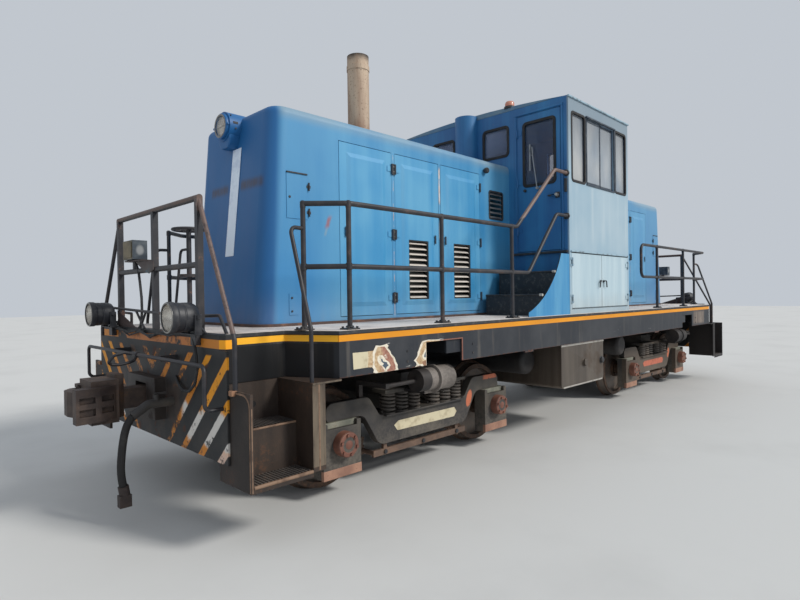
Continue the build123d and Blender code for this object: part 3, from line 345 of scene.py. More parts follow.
def deck_paint():
    """Worn grey walkway plate, dark along its edge."""
    paint = Finish("deck_plate_paint")
    x, y, z = paint.place()
    cloud = paint.noise(1.6, detail=6, roughness=0.65)
    shade = cloud.fade((168, 157, 150), (222, 212, 204), 0.28, 0.58)
    spots = paint.noise(26, roughness=0.7).step(0.58, 0.66)
    shade = shade.coat((98, 92, 88), spots * 0.4)
    on_top = z.step(deck_top - 0.004, deck_top - 0.001)
    edge = paint.noise(12).fade((46, 48, 52), (86, 82, 78), 0.5, 0.75)
    shade = paint.mix(edge, shade, on_top)
    return paint.done(shade, 0.62 + 0.15 * cloud, normal=paint.bump(paint.noise(90, detail=4), 0.0015, 0.5))


def sill_paint():
    """Black paint with the yellow band under the deck, scratches and a primed notch."""
    paint = Finish("sill_paint")
    x, y, z = paint.place()
    cloud = paint.noise(1.5)
    fine = paint.grains(30)
    shade = cloud.fade(BLACK_PAINT, (62, 64, 68), 0.35, 0.75)
    # The front ends, past the chamfers, are darkened: painted shade on the faces turned to the front.
    shade = shade.coat((22, 24, 29), abs(x).step(4.15, 4.2) * 0.55)
    streak = paint.noise(9, detail=4, stretch=(1, 1, 0.1))
    shade = shade.coat(DUST, streak.step(0.55, 0.8) * 0.25)
    outside = abs(y).step(1.05, 1.07)
    band = z.between(1.305, 1.351, 0.001) * outside
    worn = fine.step(0.66, 0.7)
    side_face = abs(y).step(sill_face - 0.01, sill_face - 0.006)
    band_colour = paint.mix(YELLOW, ORANGE_YELLOW, cloud)
    # The band on the chamfers is brightened to make up for the shade that falls there: painted light.
    chamfer_painted_light = abs(x).step(4.16, 4.17) * (1 - side_face)
    band_colour = band_colour.coat((255, 186, 44), chamfer_painted_light)
    shade = shade.coat(band_colour, band * (1 - worn * 0.8))
    in_notch = abs(x).between(2.845, 3.34, 0.002) * z.between(sill_bottom - 0.01, 1.248, 0.002)
    lip = in_notch * side_face * (x > 0)
    shade = shade.coat(paint.mix((178, 122, 106), RUST, fine), lip * 0.9)
    # The sill's inner faces below the deck go near-black: painted shade.
    inside = abs(y).fall(sill_face - 0.05, sill_face - 0.03) * (z < 1.29)
    shade = shade.coat((12, 12, 14), inside * 0.8)
    lower_lip = z.fall(sill_bottom, sill_bottom + 0.012) * side_face
    shade = shade.coat(RUST, lower_lip * fine.step(0.4, 0.6))
    scratch = paint.noise(7, detail=6, roughness=0.75, stretch=(0.3, 1, 1.6)).step(0.665, 0.68)
    shade = shade.coat((176, 174, 168), scratch * side_face * 0.7)
    rear_patch = (x + (cloud - 0.5) * 0.2).between(-3.95, -3.4, 0.04) * z.between(1.08, 1.285, 0.03)
    rear_patch = rear_patch * side_face * (y > 0)
    shade = shade.coat((112, 98, 88), rear_patch * 0.7)
    rain = paint.noise(46, detail=3, stretch=(1, 1, 0.06))
    shade = shade.coat((176, 162, 146), rear_patch * rain.step(0.45, 0.7) * 0.7)
    normal = paint.bump(fine * 0.6 + cloud, 0.0016, 0.5)
    return paint.done(shade, 0.42 + 0.25 * cloud, normal=normal, specular_ior_level=0.35)


def end_sheet_paint():
    """Black end sheet with diagonal warning stripes, orange worn to white low down."""
    paint = Finish("end_sheet_paint")
    x, y, z = paint.place()
    fine = paint.grains(26)
    cloud = paint.noise(2.6, detail=4)
    blotch = paint.noise(5.5, roughness=0.65)
    shade = cloud.fade((25, 28, 31), (50, 48, 47), 0.4, 0.75)
    across = (abs(y) - z - 0.03) * (1 / STRIPE_PITCH) + 8.5
    slant = paint.node("ShaderNodeMath", {0: across, 1: 1.0}, operation="FRACT")
    edge = slant + (fine - 0.5) * 0.06
    stripe = edge.between(0.35, 0.65, 0.015) * z.fall(1.235, 1.25)
    low = (z + (blotch - 0.5) * 0.3).between(0.62, 0.86, 0.03) * abs(y).step(0.52, 0.6)
    foot = (z + (blotch - 0.5) * 0.2).fall(0.6, 0.64)
    stripe_colour = paint.mix(ORANGE_YELLOW, YELLOW, (abs(y) + blotch * 0.3).step(0.95, 1.1) * 0.6)
    stripe_colour = stripe_colour.coat((206, 202, 196), low)
    pink = abs(y).fade(ORANGE_YELLOW, (208, 178, 160), 0.98, 1.04)
    stripe_colour = stripe_colour.coat(pink, foot)
    middle = abs(y).fall(0.42, 0.72)
    hub = (abs(y) - 0.9 * (z - 0.5)).fall(0.22, 0.27) * z.fall(0.95, 1.05)
    worn = (fine * 0.45 + blotch * 0.55 + middle * 0.085).step(0.555, 0.6)
    shade = shade.coat(stripe_colour, stripe * (1 - worn * 0.92) * (1 - hub))
    shade = shade.coat((66, 54, 47), hub * cloud.step(0.35, 0.6) * 0.7)
    band = z.between(1.292, 1.352, 0.001)
    band_colour = (abs(y) + cloud * 0.4).fade((184, 112, 52), ORANGE_YELLOW, 0.7, 1.1)
    band_colour = band_colour.coat(YELLOW, abs(y).step(1.135, 1.145))
    band_gap = paint.noise(1.7, shift=(0, 0.4, 0)).step(0.53, 0.56)
    band_worn = (fine * 0.3 + blotch * 0.7).step(0.54, 0.64) * 0.6
    kept = (1 - band_gap * abs(y).fall(0.74, 0.78)) * (1 - band_worn)
    shade = shade.coat(band_colour, band * kept)
    rust = (paint.noise(8, detail=6, roughness=0.65) + middle * 0.05).step(0.6, 0.7)
    shade = shade.coat(RUST, rust * 0.55)
    proud = abs(x).step(5.0, 5.003) + abs(x).fall(4.966, 4.97)
    iron = paint.mix((28, 24, 23), (54, 44, 39), cloud)
    shade = shade.coat(iron, proud * z.fall(1.26, 1.28))
    return paint.done(shade, 0.6 + 0.2 * rust, normal=paint.bump(fine + cloud, 0.002, 0.5))


def iron_finish(name, dark, light, rust, rust_amount, scale=6.0, roughness=0.65, metallic=0.0, depth=0.003):
    """Cast or rolled iron: two greys, patches of rust and a rough skin."""
    iron = Finish(name)
    cloud = iron.noise(scale * 0.5)
    fine = iron.grains(scale * 6)
    shade = cloud.fade(dark, light, 0.35, 0.7)
    patch = (cloud * 0.5 + fine * 0.5).step(0.62 - rust_amount * 0.25, 0.72 - rust_amount * 0.25)
    shade = shade.coat(rust, patch * 0.85)
    return iron.done(shade, roughness + 0.2 * patch, metallic, iron.bump(fine + 0.5 * cloud, depth, 0.5))


def step_iron():
    """Brown iron, dark inside the steps, with a dry grey-brown edge along the outer posts."""
    iron = Finish("step_iron")
    x, y, z = iron.place()
    cloud = iron.noise(3)
    fine = iron.grains(36)
    rain = iron.noise(11, stretch=(1, 1, 0.15))
    shade = (cloud * 0.5 + rain * 0.5).fade((40, 31, 26), (60, 47, 38), 0.35, 0.65)
    patch = (cloud * 0.5 + fine * 0.5).step(0.55, 0.66)
    shade = shade.coat((96, 66, 48), patch * 0.7)
    post = abs(y).step(step_side - 0.008, step_side - 0.004) * (abs(x) < 4.53) * (z > 0.47)
    dry = rain.fade((66, 57, 48), (120, 107, 90), 0.38, 0.62)
    shade = shade.coat(dry, post * (x > 0) * 0.85)
    shade = shade.coat((24, 23, 24), (x < 0) * 0.8)
    return iron.done(shade, 0.65 + 0.2 * patch, normal=iron.bump(fine + 0.5 * cloud, 0.003, 0.5))


def step_edge_paint():
    """Worn edges: rusty tan at the front steps, dark at the rear ones."""
    iron = Finish("step_edges")
    x, y, z = iron.place()
    cloud = iron.noise(14)
    tan = cloud.fade((132, 106, 86), (92, 70, 56), 0.45, 0.75)
    dark = cloud.fade((48, 47, 48), (104, 98, 92), 0.5, 0.75)
    return iron.done(iron.mix(dark, tan, (x > 0)), 0.75, normal=iron.bump(cloud, 0.001, 0.4))


def cab_step_paint():
    """A blue side plate, and black treads with bright worn edges."""
    paint = Finish("cab_step_paint")
    x, y, z = paint.place()
    fine = paint.grains(24)
    streak = paint.noise(8, detail=4, stretch=(1, 1, 0.08))
    black = fine.fade((34, 36, 40), (76, 74, 72), 0.5, 0.7)
    blue = streak.fade(HOOD_BLUE, HOOD_FADED, 0.35, 0.65)
    blue = blue.coat(RUST, fine.step(0.68, 0.72) * 0.7)
    shade = abs(y).fade(black, blue, 1.434, 1.4355)
    return paint.done(shade, 0.5, normal=paint.bump(fine + streak, 0.0014, 0.4))


def peeled_paint():
    """The old coats where the black has peeled off: tan to the front, red-brown to the rear."""
    paint = Finish("peeled_coats")
    x, y, z = paint.place()
    fine = paint.grains(38)
    blotch = paint.noise(14, detail=4)
    tan = fine.fade((166, 132, 96), (206, 184, 148), 0.35, 0.65)
    brown = fine.fade((140, 92, 78), (172, 126, 106), 0.35, 0.65)
    rear = (3.86 - x + (blotch - 0.5) * 0.12).step(0.0, 0.05) * (x > 3.55)
    shade = paint.mix(tan, brown, rear)
    shade = shade.coat((222, 212, 196), (blotch * 0.5 + fine * 0.5).step(0.58, 0.63) * 0.8)
    return paint.done(shade, 0.75, normal=paint.bump(fine + blotch, 0.0015, 0.5))


def rail_paint():
    """Black paint on pipe, worn to copper brown where hands slide and along the end rails."""
    paint = Finish("rail_paint")
    x, y, z = paint.place()
    wear = paint.noise(5, roughness=0.65)
    fine = paint.noise(60, detail=4)
    shade = wear.fade((34, 35, 41), (60, 56, 57), 0.4, 0.7)
    shade = shade.coat((132, 92, 74), (wear * 0.7 + fine * 0.3).step(0.58, 0.68) * 0.8)
    beyond_knee = abs(abs(y) - 0.79 - (2.341 - z) * 0.5102)
    slanted = beyond_knee.fall(0.022, 0.034) * (z > 1.4) * (abs(x) > 4.93) * (x * y > 0)
    climbing = (z - 0.3 * (1.97 - abs(x))).step(2.345, 2.36) * (abs(y) > 1.38) * (abs(x) < 1.98)
    end_top = z.step(2.325, 2.335) * (abs(x) > 4.9) * (abs(y) < 0.84)
    rubbed = (wear * 0.5 + fine * 0.5).step(0.36, 0.52)
    shade = shade.coat((132, 108, 98), (slanted * 0.8 + climbing) * (0.22 + 0.5 * rubbed))
    shade = shade.coat((92, 70, 60), end_top * (0.4 + 0.5 * rubbed))
    return paint.done(shade, 0.38 + 0.25 * wear, normal=paint.bump(fine, 0.0008, 0.4))


def truck_iron():
    """Dusty black casting with orange primer showing at the inner ends of the side frames."""
    iron = Finish("truck_iron")
    x, y, z = iron.place()
    cloud = iron.noise(2.4)
    fine = iron.grains(40)
    shade = cloud.fade((50, 48, 48), (90, 84, 75), 0.35, 0.72)
    dust = z.fall(0.3, 0.62) * fine.step(0.4, 0.6)
    shade = shade.coat(DUST, dust * 0.16)
    outer = abs(y).step(1.0, 1.008)
    shade = shade.coat((98, 82, 66), (x < 0) * outer * 0.45)
    beyond_leg = (abs(x) - 2.182) * (x > 0) + (3.518 - abs(x)) * (x < 0)
    leg_along = beyond_leg * (1 / 0.05) + (z - 0.555) * 5.0
    leg_up = (z - 0.555) * (1 / 0.095)
    on_leg = (leg_along * leg_along + leg_up * leg_up + fine * 0.6).fall(0.9, 1.25)
    on_hump = x.between(1.7, 1.93, 0.02) * (z + fine * 0.02).between(0.728, 0.775, 0.006)
    primer = outer * (on_leg + on_hump) * fine.step(0.34, 0.44)
    shade = shade.coat((198, 110, 76), primer * 0.9)
    return iron.done(shade, 0.62, normal=iron.bump(fine + cloud, 0.003, 0.5))


def wheel_steel():
    """Brown rusty webs and a bright worn tread."""
    steel = Finish("wheel_steel")
    x, y, z = steel.place()
    fine = steel.grains(30)
    shade = fine.fade((60, 50, 44), (104, 78, 60), 0.35, 0.7)
    tread = abs(y).between(0.715, 0.79, 0.01)
    shade = shade.coat((150, 146, 140), tread * 0.35)
    return steel.done(shade, 0.6 - 0.2 * tread, 0.35, steel.bump(fine, 0.0015, 0.5))


def tank_steel():
    """Dull stainless sheet with rain streaks."""
    steel = Finish("tank_steel")
    streak = steel.noise(6, stretch=(1, 1, 0.06))
    brushed = steel.noise(120, detail=3, stretch=(1, 1, 0.02))
    shade = streak.fade((84, 76, 69), (112, 103, 93), 0.3, 0.7)
    stain = steel.noise(3, detail=6).step(0.56, 0.7)
    shade = shade.coat((84, 70, 60), stain * 0.5)
    return steel.done(shade, 0.42 + 0.2 * stain, 0.55, steel.bump(brushed + streak, 0.0008, 0.4))


def exhaust_steel():
    """Heat-browned pipe: tan at the top, rust at its foot and below the band."""
    steel = Finish("exhaust_steel")
    x, y, z = steel.place()
    streak = steel.noise(9, stretch=(1, 1, 0.15))
    fine = steel.grains(50)
    shade = streak.fade((156, 130, 110), (194, 174, 152), 0.3, 0.7)
    foot = (z + streak * 0.3).fall(3.35, 3.75)
    shade = shade.coat((122, 76, 52), foot * 0.8)
    soot = (z + streak * 0.12).step(4.2, 4.3)
    shade = shade.coat((40, 36, 34), soot)
    shade = shade.coat((96, 66, 50), fine.step(0.56, 0.66) * 0.7)
    return steel.done(shade, 0.7, 0.15, steel.bump(fine, 0.002, 0.5))


def plain_paint(name, colour, worn, roughness=0.5, scale=14.0, metallic=0.0, **more):
    """One colour of paint or plastic with faint wear."""
    paint = Finish(name)
    cloud = paint.noise(scale)
    shade = cloud.fade(colour, worn, 0.45, 0.75)
    normal = paint.bump(paint.noise(scale * 12, detail=3), 0.0008, 0.35)
    return paint.done(shade, roughness, metallic, normal, **more)


def rubber_finish(name, colour=(28, 28, 30)):
    rubber = Finish(name)
    cloud = rubber.noise(12, detail=4)
    shade = rubber.mix(colour, (66, 64, 62), cloud.step(0.5, 0.8) * 0.6)
    return rubber.done(shade, 0.7, normal=rubber.bump(rubber.noise(150, detail=2), 0.0006, 0.4))


def window_glass():
    """Tinted glass with a thin film of dust; the side panes get a paler tint, darker towards the top, as a
    painted reflection of the sky.
    """
    glass = Finish("window_glass")
    x, y, z = glass.place()
    film = glass.noise(1.4, detail=2, stretch=(1, 1, 0.5))
    dust = glass.noise(14, detail=4, stretch=(1, 1, 0.4))
    side_face = abs(y).step(cab_side - 0.06, cab_side - 0.05)
    ends = film.fade((112, 130, 166), (150, 168, 204), 0.35, 0.65)
    in_door = (abs(y) > 0.72) * (x * y > 0)
    ends = ends.coat((66, 80, 108), in_door * 0.7)
    # The side panes' pale tint, darker towards the top, is a painted reflection of the sky.
    sides = film.fade((154, 168, 182), (206, 208, 208), 0.38, 0.62)
    sides = sides.coat((112, 122, 134), z.step(3.25, 3.72) * 0.55)
    shade = glass.mix(ends, sides, side_face)
    opacity = 0.29 + 0.06 * dust.step(0.4, 0.8) + 0.3 * side_face
    glass.feed(glass.shader.inputs["Alpha"], opacity)
    return glass.done(shade, 0.05 + 0.08 * dust, 0.0, specular_ior_level=0.7)


def lens_glass():
    """Clear lamp glass with a little dust."""
    lens = Finish("lens_glass")
    dust = lens.noise(9, detail=3)
    shade = dust.fade((206, 204, 196), (236, 238, 236), 0.4, 0.7)
    lens.feed(lens.shader.inputs["Alpha"], 0.13 + 0.05 * dust)
    return lens.done(shade, 0.05)


def reflector():
    """A silvered lamp bowl, gone a little beige."""
    metal = Finish("lamp_reflector")
    cloud = metal.noise(7, detail=2)
    shade = cloud.fade((176, 168, 156), (226, 222, 214), 0.35, 0.65)
    return metal.done(shade, 0.22 + 0.1 * cloud, 0.75)


def brake_finish():
    """Brake gear: a grey cylinder with a black head above, brown bars and beams below."""
    iron = Finish("brake_iron")
    x, y, z = iron.place()
    cloud = iron.noise(4.5)
    fine = iron.grains(50)
    brown = cloud.fade((84, 68, 58), (116, 92, 76), 0.35, 0.7)
    grey = (cloud * 0.6 + fine * 0.4).fade((92, 86, 81), (134, 126, 119), 0.35, 0.65)
    black = cloud.fade((30, 28, 29), (58, 52, 49), 0.35, 0.7)
    upper = z.step(0.742, 0.746)
    head = (abs(x) + (x < 0) * 2.0).step(3.176, 3.18)
    shade = iron.mix(brown, iron.mix(grey, black, head), upper)
    patch = (cloud * 0.5 + fine * 0.5).step(0.56, 0.66)
    shade = shade.coat((66, 54, 48), patch * 0.6)
    return iron.done(shade, 0.68 + 0.15 * patch, normal=iron.bump(fine + 0.5 * cloud, 0.002, 0.5))


def box_paint():
    """The small box on the end rail: olive-brown in front, slate grey on its side with a pale painted
    highlight.
    """
    paint = Finish("end_box_paint")
    x, y, z = paint.place()
    cloud = paint.noise(13, detail=4)
    front = abs(x).step(5.0162, 5.0166)
    slate = cloud.fade((52, 62, 72), (84, 92, 98), 0.4, 0.7)
    # A pale spot on the side face: a painted highlight.
    along = abs(x) - 4.955
    up = z - 2.045
    spot = (along * along + up * up * 0.6).fall(0.0002, 0.0016)
    slate = slate.coat((150, 152, 152), spot * 0.8)
    olive = cloud.fade((86, 78, 58), (116, 104, 78), 0.35, 0.65)
    shade = paint.mix(slate, olive, front)
    return paint.done(shade, 0.55, normal=paint.bump(cloud, 0.0008, 0.35))


# Shapes


def on_side(along, up, out):
    """A drawing on the left or right side: along the locomotive, up, and out from its middle."""
    return (along, out, up)


def on_end(across, up, out):
    """A drawing on an end: across the locomotive, up, and out from its middle."""
    return (out, across, up)


def on_top(along, across, out):
    """A drawing on a level surface: along, across and up."""
    return (along, across, out)


def arc(centre, radii, turns):
    """Points of an arc or an oval, one at each turn in degrees."""
    points = []
    for turn in turns:
        angle = math.radians(turn)
        points.append((centre[0] + radii[0] * math.cos(angle), centre[1] + radii[1] * math.sin(angle)))
    return points


def rounded_rectangle(centre, half_wide, half_high, radius, steps=5):
    """The outline of a rectangle with round corners."""
    outline = []
    for quarter, (sign_u, sign_v) in enumerate(((1, 1), (-1, 1), (-1, -1), (1, -1))):
        middle_u = centre[0] + sign_u * (half_wide - radius)
        middle_v = centre[1] + sign_v * (half_high - radius)
        turns = [90 * (quarter + step / steps) for step in range(steps + 1)]
        outline += arc((middle_u, middle_v), (radius, radius), turns)
    return outline


def round_path(points, bend, steps=6):
    """The points of a route whose corners are rounded."""
    points = [Vector(point) for point in points]
    path = [points[0]]
    for before, corner, after in zip(points, points[1:], points[2:]):
        inward = (before - corner).normalized()
        outward = (after - corner).normalized()
        half_turn = (math.pi - inward.angle(outward)) / 2
        cut = min(bend * math.tan(half_turn), 0.49 * (before - corner).length, 0.49 * (after - corner).length)
        start = corner + inward * cut
        end = corner + outward * cut
        for step in range(steps + 1):
            share = step / steps
            path.append(start * (1 - share) ** 2 + corner * 2 * share * (1 - share) + end * share ** 2)
    path.append(points[-1])
    return path


class Shape:
    """A mesh under construction."""

    def __init__(self):
        self.mesh = bmesh.new()

    def add(self, points, faces):
        made = [self.mesh.verts.new(point) for point in points]
        for face in faces:
            self.mesh.faces.new([made[number] for number in face])
        return self

    def block(self, x, y, z):
        """A box between two places on each axis."""
        corners = [(i, j, k) for k in z for j in y for i in x]
        sides = ((0, 2, 3, 1), (4, 5, 7, 6), (0, 1, 5, 4), (2, 6, 7, 3), (0, 4, 6, 2), (1, 3, 7, 5))
        return self.add(corners, sides)

    def prism(self, outline, span, place):
        """An outline with depth, between two places out from the drawing."""
        count = len(outline)
        points = [place(u, v, w) for w in span for u, v in outline]
        walls = [(n, (n + 1) % count, (n + 1) % count + count, n + count) for n in range(count)]
        return self.add(points, [tuple(range(count)), tuple(range(count, 2 * count)), *walls])

    def ring(self, outer, inner, span, place):
        """The space between two outlines with as many points, with depth."""
        count = len(outer)
        points = [place(u, v, w) for w in span for outline in (outer, inner) for u, v in outline]
        faces = []
        for n in range(count):
            m = (n + 1) % count
            faces.append((n, m, m + count, n + count))
            faces.append((n + 2 * count, n + 3 * count, m + 3 * count, m + 2 * count))
            faces.append((n, n + 2 * count, m + 2 * count, m))
            faces.append((n + count, m + count, m + 3 * count, n + 3 * count))
        return self.add(points, faces)

    def tube(self, points, radius, sides=12, bend=0.0):
        """A round bar along a route, closed at both ends."""
        path = round_path(points, bend) if bend else [Vector(point) for point in points]
        radii = radius if isinstance(radius, (list, tuple)) else [radius] * len(path)
        ahead = (path[1] - path[0]).normalized()
        across = ahead.orthogonal().normalized()
        rows = []
        for number, point in enumerate(path):
            after = path[min(number + 1, len(path) - 1)]
            before = path[max(number - 1, 0)]
            way = (after - before).normalized()
            across = (across - way * across.dot(way)).normalized()
            up = way.cross(across)
            row = []
            for side in range(sides):
                angle = 2 * math.pi * side / sides
                row.append(self.mesh.verts.new(
                    point + (across * math.cos(angle) + up * math.sin(angle)) * radii[number]))
            rows.append(row)
        self.join_rows(rows)
        self.mesh.faces.new(rows[0])
        self.mesh.faces.new(rows[-1])
        return self

    def join_rows(self, rows, closed=False):
        """Faces between each row of points and the next. A row of one point is a tip."""
        pairs = list(zip(rows, rows[1:]))
        if closed:
            pairs.append((rows[-1], rows[0]))
        for one, two in pairs:
            for n in range(max(len(one), len(two))):
                near = (one[n % len(one)], one[(n + 1) % len(one)])
                far = (two[(n + 1) % len(two)], two[n % len(two)])
                face = list(dict.fromkeys(near + far))
                if len(face) > 2:
                    self.mesh.faces.new(face)

    def lathe(self, profile, origin, axis, sides=32, closed=False):
        """A profile of pairs (radius, distance along the axis), spun round the axis."""
        turn = Vector(axis).to_track_quat("Z", "Y")
        rows = []
        for radius, along in profile:
            if radius < 1e-6:
                rows.append([self.mesh.verts.new(Vector(origin) + turn @ Vector((0, 0, along)))])
                continue
            row = []
            for side in range(sides):
                angle = 2 * math.pi * side / sides
                spot = Vector((radius * math.cos(angle), radius * math.sin(angle), along))
                row.append(self.mesh.verts.new(Vector(origin) + turn @ spot))
            rows.append(row)
        self.join_rows(rows, closed)
        return self

    def copied(self, matrix, flip=False):
        """Adds a copy that is moved, turned or mirrored by a matrix."""
        geometry = self.mesh.verts[:] + self.mesh.edges[:] + self.mesh.faces[:]
        copy = bmesh.ops.duplicate(self.mesh, geom=geometry)["geom"]
        points = [part for part in copy if isinstance(part, bmesh.types.BMVert)]
        bmesh.ops.transform(self.mesh, matrix=matrix, verts=points)
        if flip:
            faces = [part for part in copy if isinstance(part, bmesh.types.BMFace)]
            bmesh.ops.reverse_faces(self.mesh, faces=faces)
        return self

    def half_turned(self):
        """Adds the same thing for the rear end."""
        return self.copied(Matrix.Rotation(math.pi, 4, "Z"))

    def at(self, end):
        """Takes a piece of the front end to its own end."""
        if end == "rear":
            bmesh.ops.transform(self.mesh, matrix=Matrix.Rotation(math.pi, 4, "Z"), verts=self.mesh.verts)
        return self

    def mirrored(self, x=1, y=1):
        """Adds the mirror image."""
        return self.copied(Matrix.Diagonal((x, y, 1, 1)), flip=x * y < 0)

    def to_corner(self, end, side):
        """Takes a piece of the front left corner to a corner."""
        mirror = Matrix.Diagonal((ENDS[end], SIDES[side], 1, 1))
        bmesh.ops.transform(self.mesh, matrix=mirror, verts=self.mesh.verts)
        return self

    def closed(self, name):
        """The finished mesh."""
        data = bpy.data.meshes.new(name)
        self.mesh.to_mesh(data)
        self.mesh.free()
        return data

    def make(self, name, material, slot, body="frame", **more):
        """Turns the mesh into a piece that rides on a body."""
        bmesh.ops.recalc_face_normals(self.mesh, faces=self.mesh.faces)
        return dressed(self.closed(name), name, material, slot, body, **more)


def dressed(data, name, material, slot, body, bevel=0.0, replaces=(), sharp=35, segments=2):
    """A piece from a mesh: smooth faces, sharp corners or soft edges, a material and a body."""
    data.materials.clear()
    data.materials.append(material)
    data.polygons.foreach_set("use_smooth", [True] * len(data.polygons))
    data.polygons.foreach_set("material_index", [0] * len(data.polygons))
    data.set_sharp_from_angle(angle=math.radians(sharp))
    piece = bpy.data.objects.new(name, data)
    bpy.context.scene.collection.objects.link(piece)
    if bevel:
        edges = piece.modifiers.new("soft_edges", "BEVEL")
        edges.width = bevel
        edges.segments = segments
        edges.limit_method = "ANGLE"
        edges.angle_limit = math.radians(sharp)
        edges.harden_normals = True
    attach(piece, body)
    if replaces:
        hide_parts(*replaces)
    return piece


def softened(node, material, slot, width):
    """A copy of a solid with merged points and rounded edges, which stands for it."""
    source = frame["nodes"][node]
    shape = Shape()
    shape.mesh.from_mesh(source.data)
    bmesh.ops.remove_doubles(shape.mesh, verts=shape.mesh.verts, dist=2e-5)
    flat = math.radians(1.0)
    bmesh.ops.dissolve_limit(shape.mesh, angle_limit=flat, verts=shape.mesh.verts, edges=shape.mesh.edges)
    name = f"{node}_rounded"
    return dressed(shape.closed(name), name, material, slot, source["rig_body"], width, (node,), sharp=30)


# Repeats, made by Geometry Nodes


class Grower:
    """A tree of Geometry Nodes with named inputs, used on a seed mesh."""

    def __init__(self, name, inputs):
        self.group = bpy.data.node_groups.new(name, "GeometryNodeTree")
        face = self.group.interface
        face.new_socket("Geometry", in_out="INPUT", socket_type="NodeSocketGeometry")
        for label, kind in inputs:
            face.new_socket(label, in_out="INPUT", socket_type=f"NodeSocket{kind}")
        face.new_socket("Material", in_out="INPUT", socket_type="NodeSocketMaterial")
        face.new_socket("Geometry", in_out="OUTPUT", socket_type="NodeSocketGeometry")
        self.entry = self.group.nodes.new("NodeGroupInput")
        self.exit = self.group.nodes.new("NodeGroupOutput")

    def given(self, label):
        return self.entry.outputs[label]

    def node(self, kind, feeds=None, output=0, **settings):
        made = self.group.nodes.new(kind)
        for setting, value in settings.items():
            setattr(made, setting, value)
        for socket, value in (feeds or {}).items():
            if isinstance(value, bpy.types.NodeSocket):
                self.group.links.new(value, made.inputs[socket])
            else:
                made.inputs[socket].default_value = value
        return made.outputs[output]

    def close(self, instances):
        real = self.node("GeometryNodeRealizeInstances", {0: instances})
        painted = self.node("GeometryNodeSetMaterial", {"Geometry": real, "Material": self.given("Material")})
        self.group.links.new(painted, self.exit.inputs[0])
        return self

    def grow(self, seed, name, material, slot, body="frame", replaces=(), sharp=35, **sizes):
        """Grows the seed mesh into a plain mesh, and gives the piece."""
        carrier = bpy.data.objects.new(f"{name}_seed", seed)
        bpy.context.scene.collection.objects.link(carrier)
        modifier = carrier.modifiers.new("grow", "NODES")
        modifier.node_group = self.group
        wanted = {label.capitalize(): size for label, size in sizes.items()}
        wanted["Material"] = material
        for item in self.group.interface.items_tree:
            if item.in_out == "INPUT" and item.name in wanted:
                modifier[item.identifier] = wanted[item.name]
        graph = bpy.context.evaluated_depsgraph_get()
        grown = bpy.data.meshes.new_from_object(carrier.evaluated_get(graph))
        carrier.modifiers.clear()
        bpy.data.objects.remove(carrier)
        return dressed(grown, name, material, slot, body, replaces=replaces, sharp=sharp)


def points_mesh(name, places, facings=None):
    """A mesh of single points, each with the way that it faces."""
    seed = bpy.data.meshes.new(name)
    seed.from_pydata([tuple(place) for place in places], [], [])
    if facings:
        facing = seed.attributes.new("facing", "FLOAT_VECTOR", "POINT")
        facing.data.foreach_set("vector", [value for way in facings for value in way])
    return seed


def bolt_grower():
    """A six-sided bolt head on each point, square to the way that the point faces."""
    tree = Grower("bolt_heads", (("Radius", "Float"), ("Height", "Float"), ("Sides", "Int")))
    feeds = {"Vertices": tree.given("Sides"), "Radius": tree.given("Radius"), "Depth": tree.given("Height")}
    head = tree.node("GeometryNodeMeshCylinder", feeds)
    facing = tree.node("GeometryNodeInputNamedAttribute", {"Name": "facing"}, data_type="FLOAT_VECTOR")
    turn = tree.node("FunctionNodeAlignRotationToVector", {"Vector": facing}, axis="Z")
    feeds = {"Points": tree.given("Geometry"), "Instance": head, "Rotation": turn}
    return tree.close(tree.node("GeometryNodeInstanceOnPoints", feeds))


def grid_grower():
    """The seed repeated on a grid, every second one turned a quarter."""
    inputs = (("Columns", "Int"), ("Rows", "Int"), ("Length", "Float"), ("Width", "Float"),
              ("Middle", "Vector"))
    tree = Grower("chequered", inputs)
    feeds = {"Size X": tree.given("Length"), "Size Y": tree.given("Width"),
             "Vertices X": tree.given("Columns"), "Vertices Y": tree.given("Rows")}
    grid = tree.node("GeometryNodeMeshGrid", feeds)
    index = tree.node("GeometryNodeInputIndex")
    odd = tree.node("ShaderNodeMath", {0: index, 1: 2.0}, operation="MODULO")
    turn = tree.node("ShaderNodeMath", {0: odd, 1: math.pi / 2}, operation="MULTIPLY")
    rotation = tree.node("ShaderNodeCombineXYZ", {"Z": turn})
    feeds = {"Points": grid, "Instance": tree.given("Geometry"), "Rotation": rotation}
    instances = tree.node("GeometryNodeInstanceOnPoints", feeds)
    feeds = {"Geometry": instances, "Translation": tree.given("Middle")}
    return tree.close(tree.node("GeometryNodeTransform", feeds))


def coil_grower():
    """A coil spring standing on each point."""
    inputs = (("Turns", "Float"), ("Radius", "Float"), ("Height", "Float"), ("Wire", "Float"))
    tree = Grower("coil_springs", inputs)
    feeds = {"Resolution": 20, "Rotations": tree.given("Turns"), "Start Radius": tree.given("Radius"),
             "End Radius": tree.given("Radius"), "Height": tree.given("Height")}
    line = tree.node("GeometryNodeCurveSpiral", feeds)
    section = tree.node("GeometryNodeCurvePrimitiveCircle", {"Resolution": 8, "Radius": tree.given("Wire")})
    feeds = {"Curve": line, "Profile Curve": section, "Fill Caps": True}
    wire = tree.node("GeometryNodeCurveToMesh", feeds)
    feeds = {"Points": tree.given("Geometry"), "Instance": wire}
    return tree.close(tree.node("GeometryNodeInstanceOnPoints", feeds))


bolt_heads = bolt_grower()
chequered = grid_grower()
coil_springs = coil_grower()


def bolts(name, material, slot, table, radius, height, body="frame", sides=6):
    """Bolt heads from a table of places and the ways that they face."""
    seed = points_mesh(name, [place for place, way in table], [way for place, way in table])
    return bolt_heads.grow(seed, name, material, slot, body, radius=radius, height=height, sides=sides)


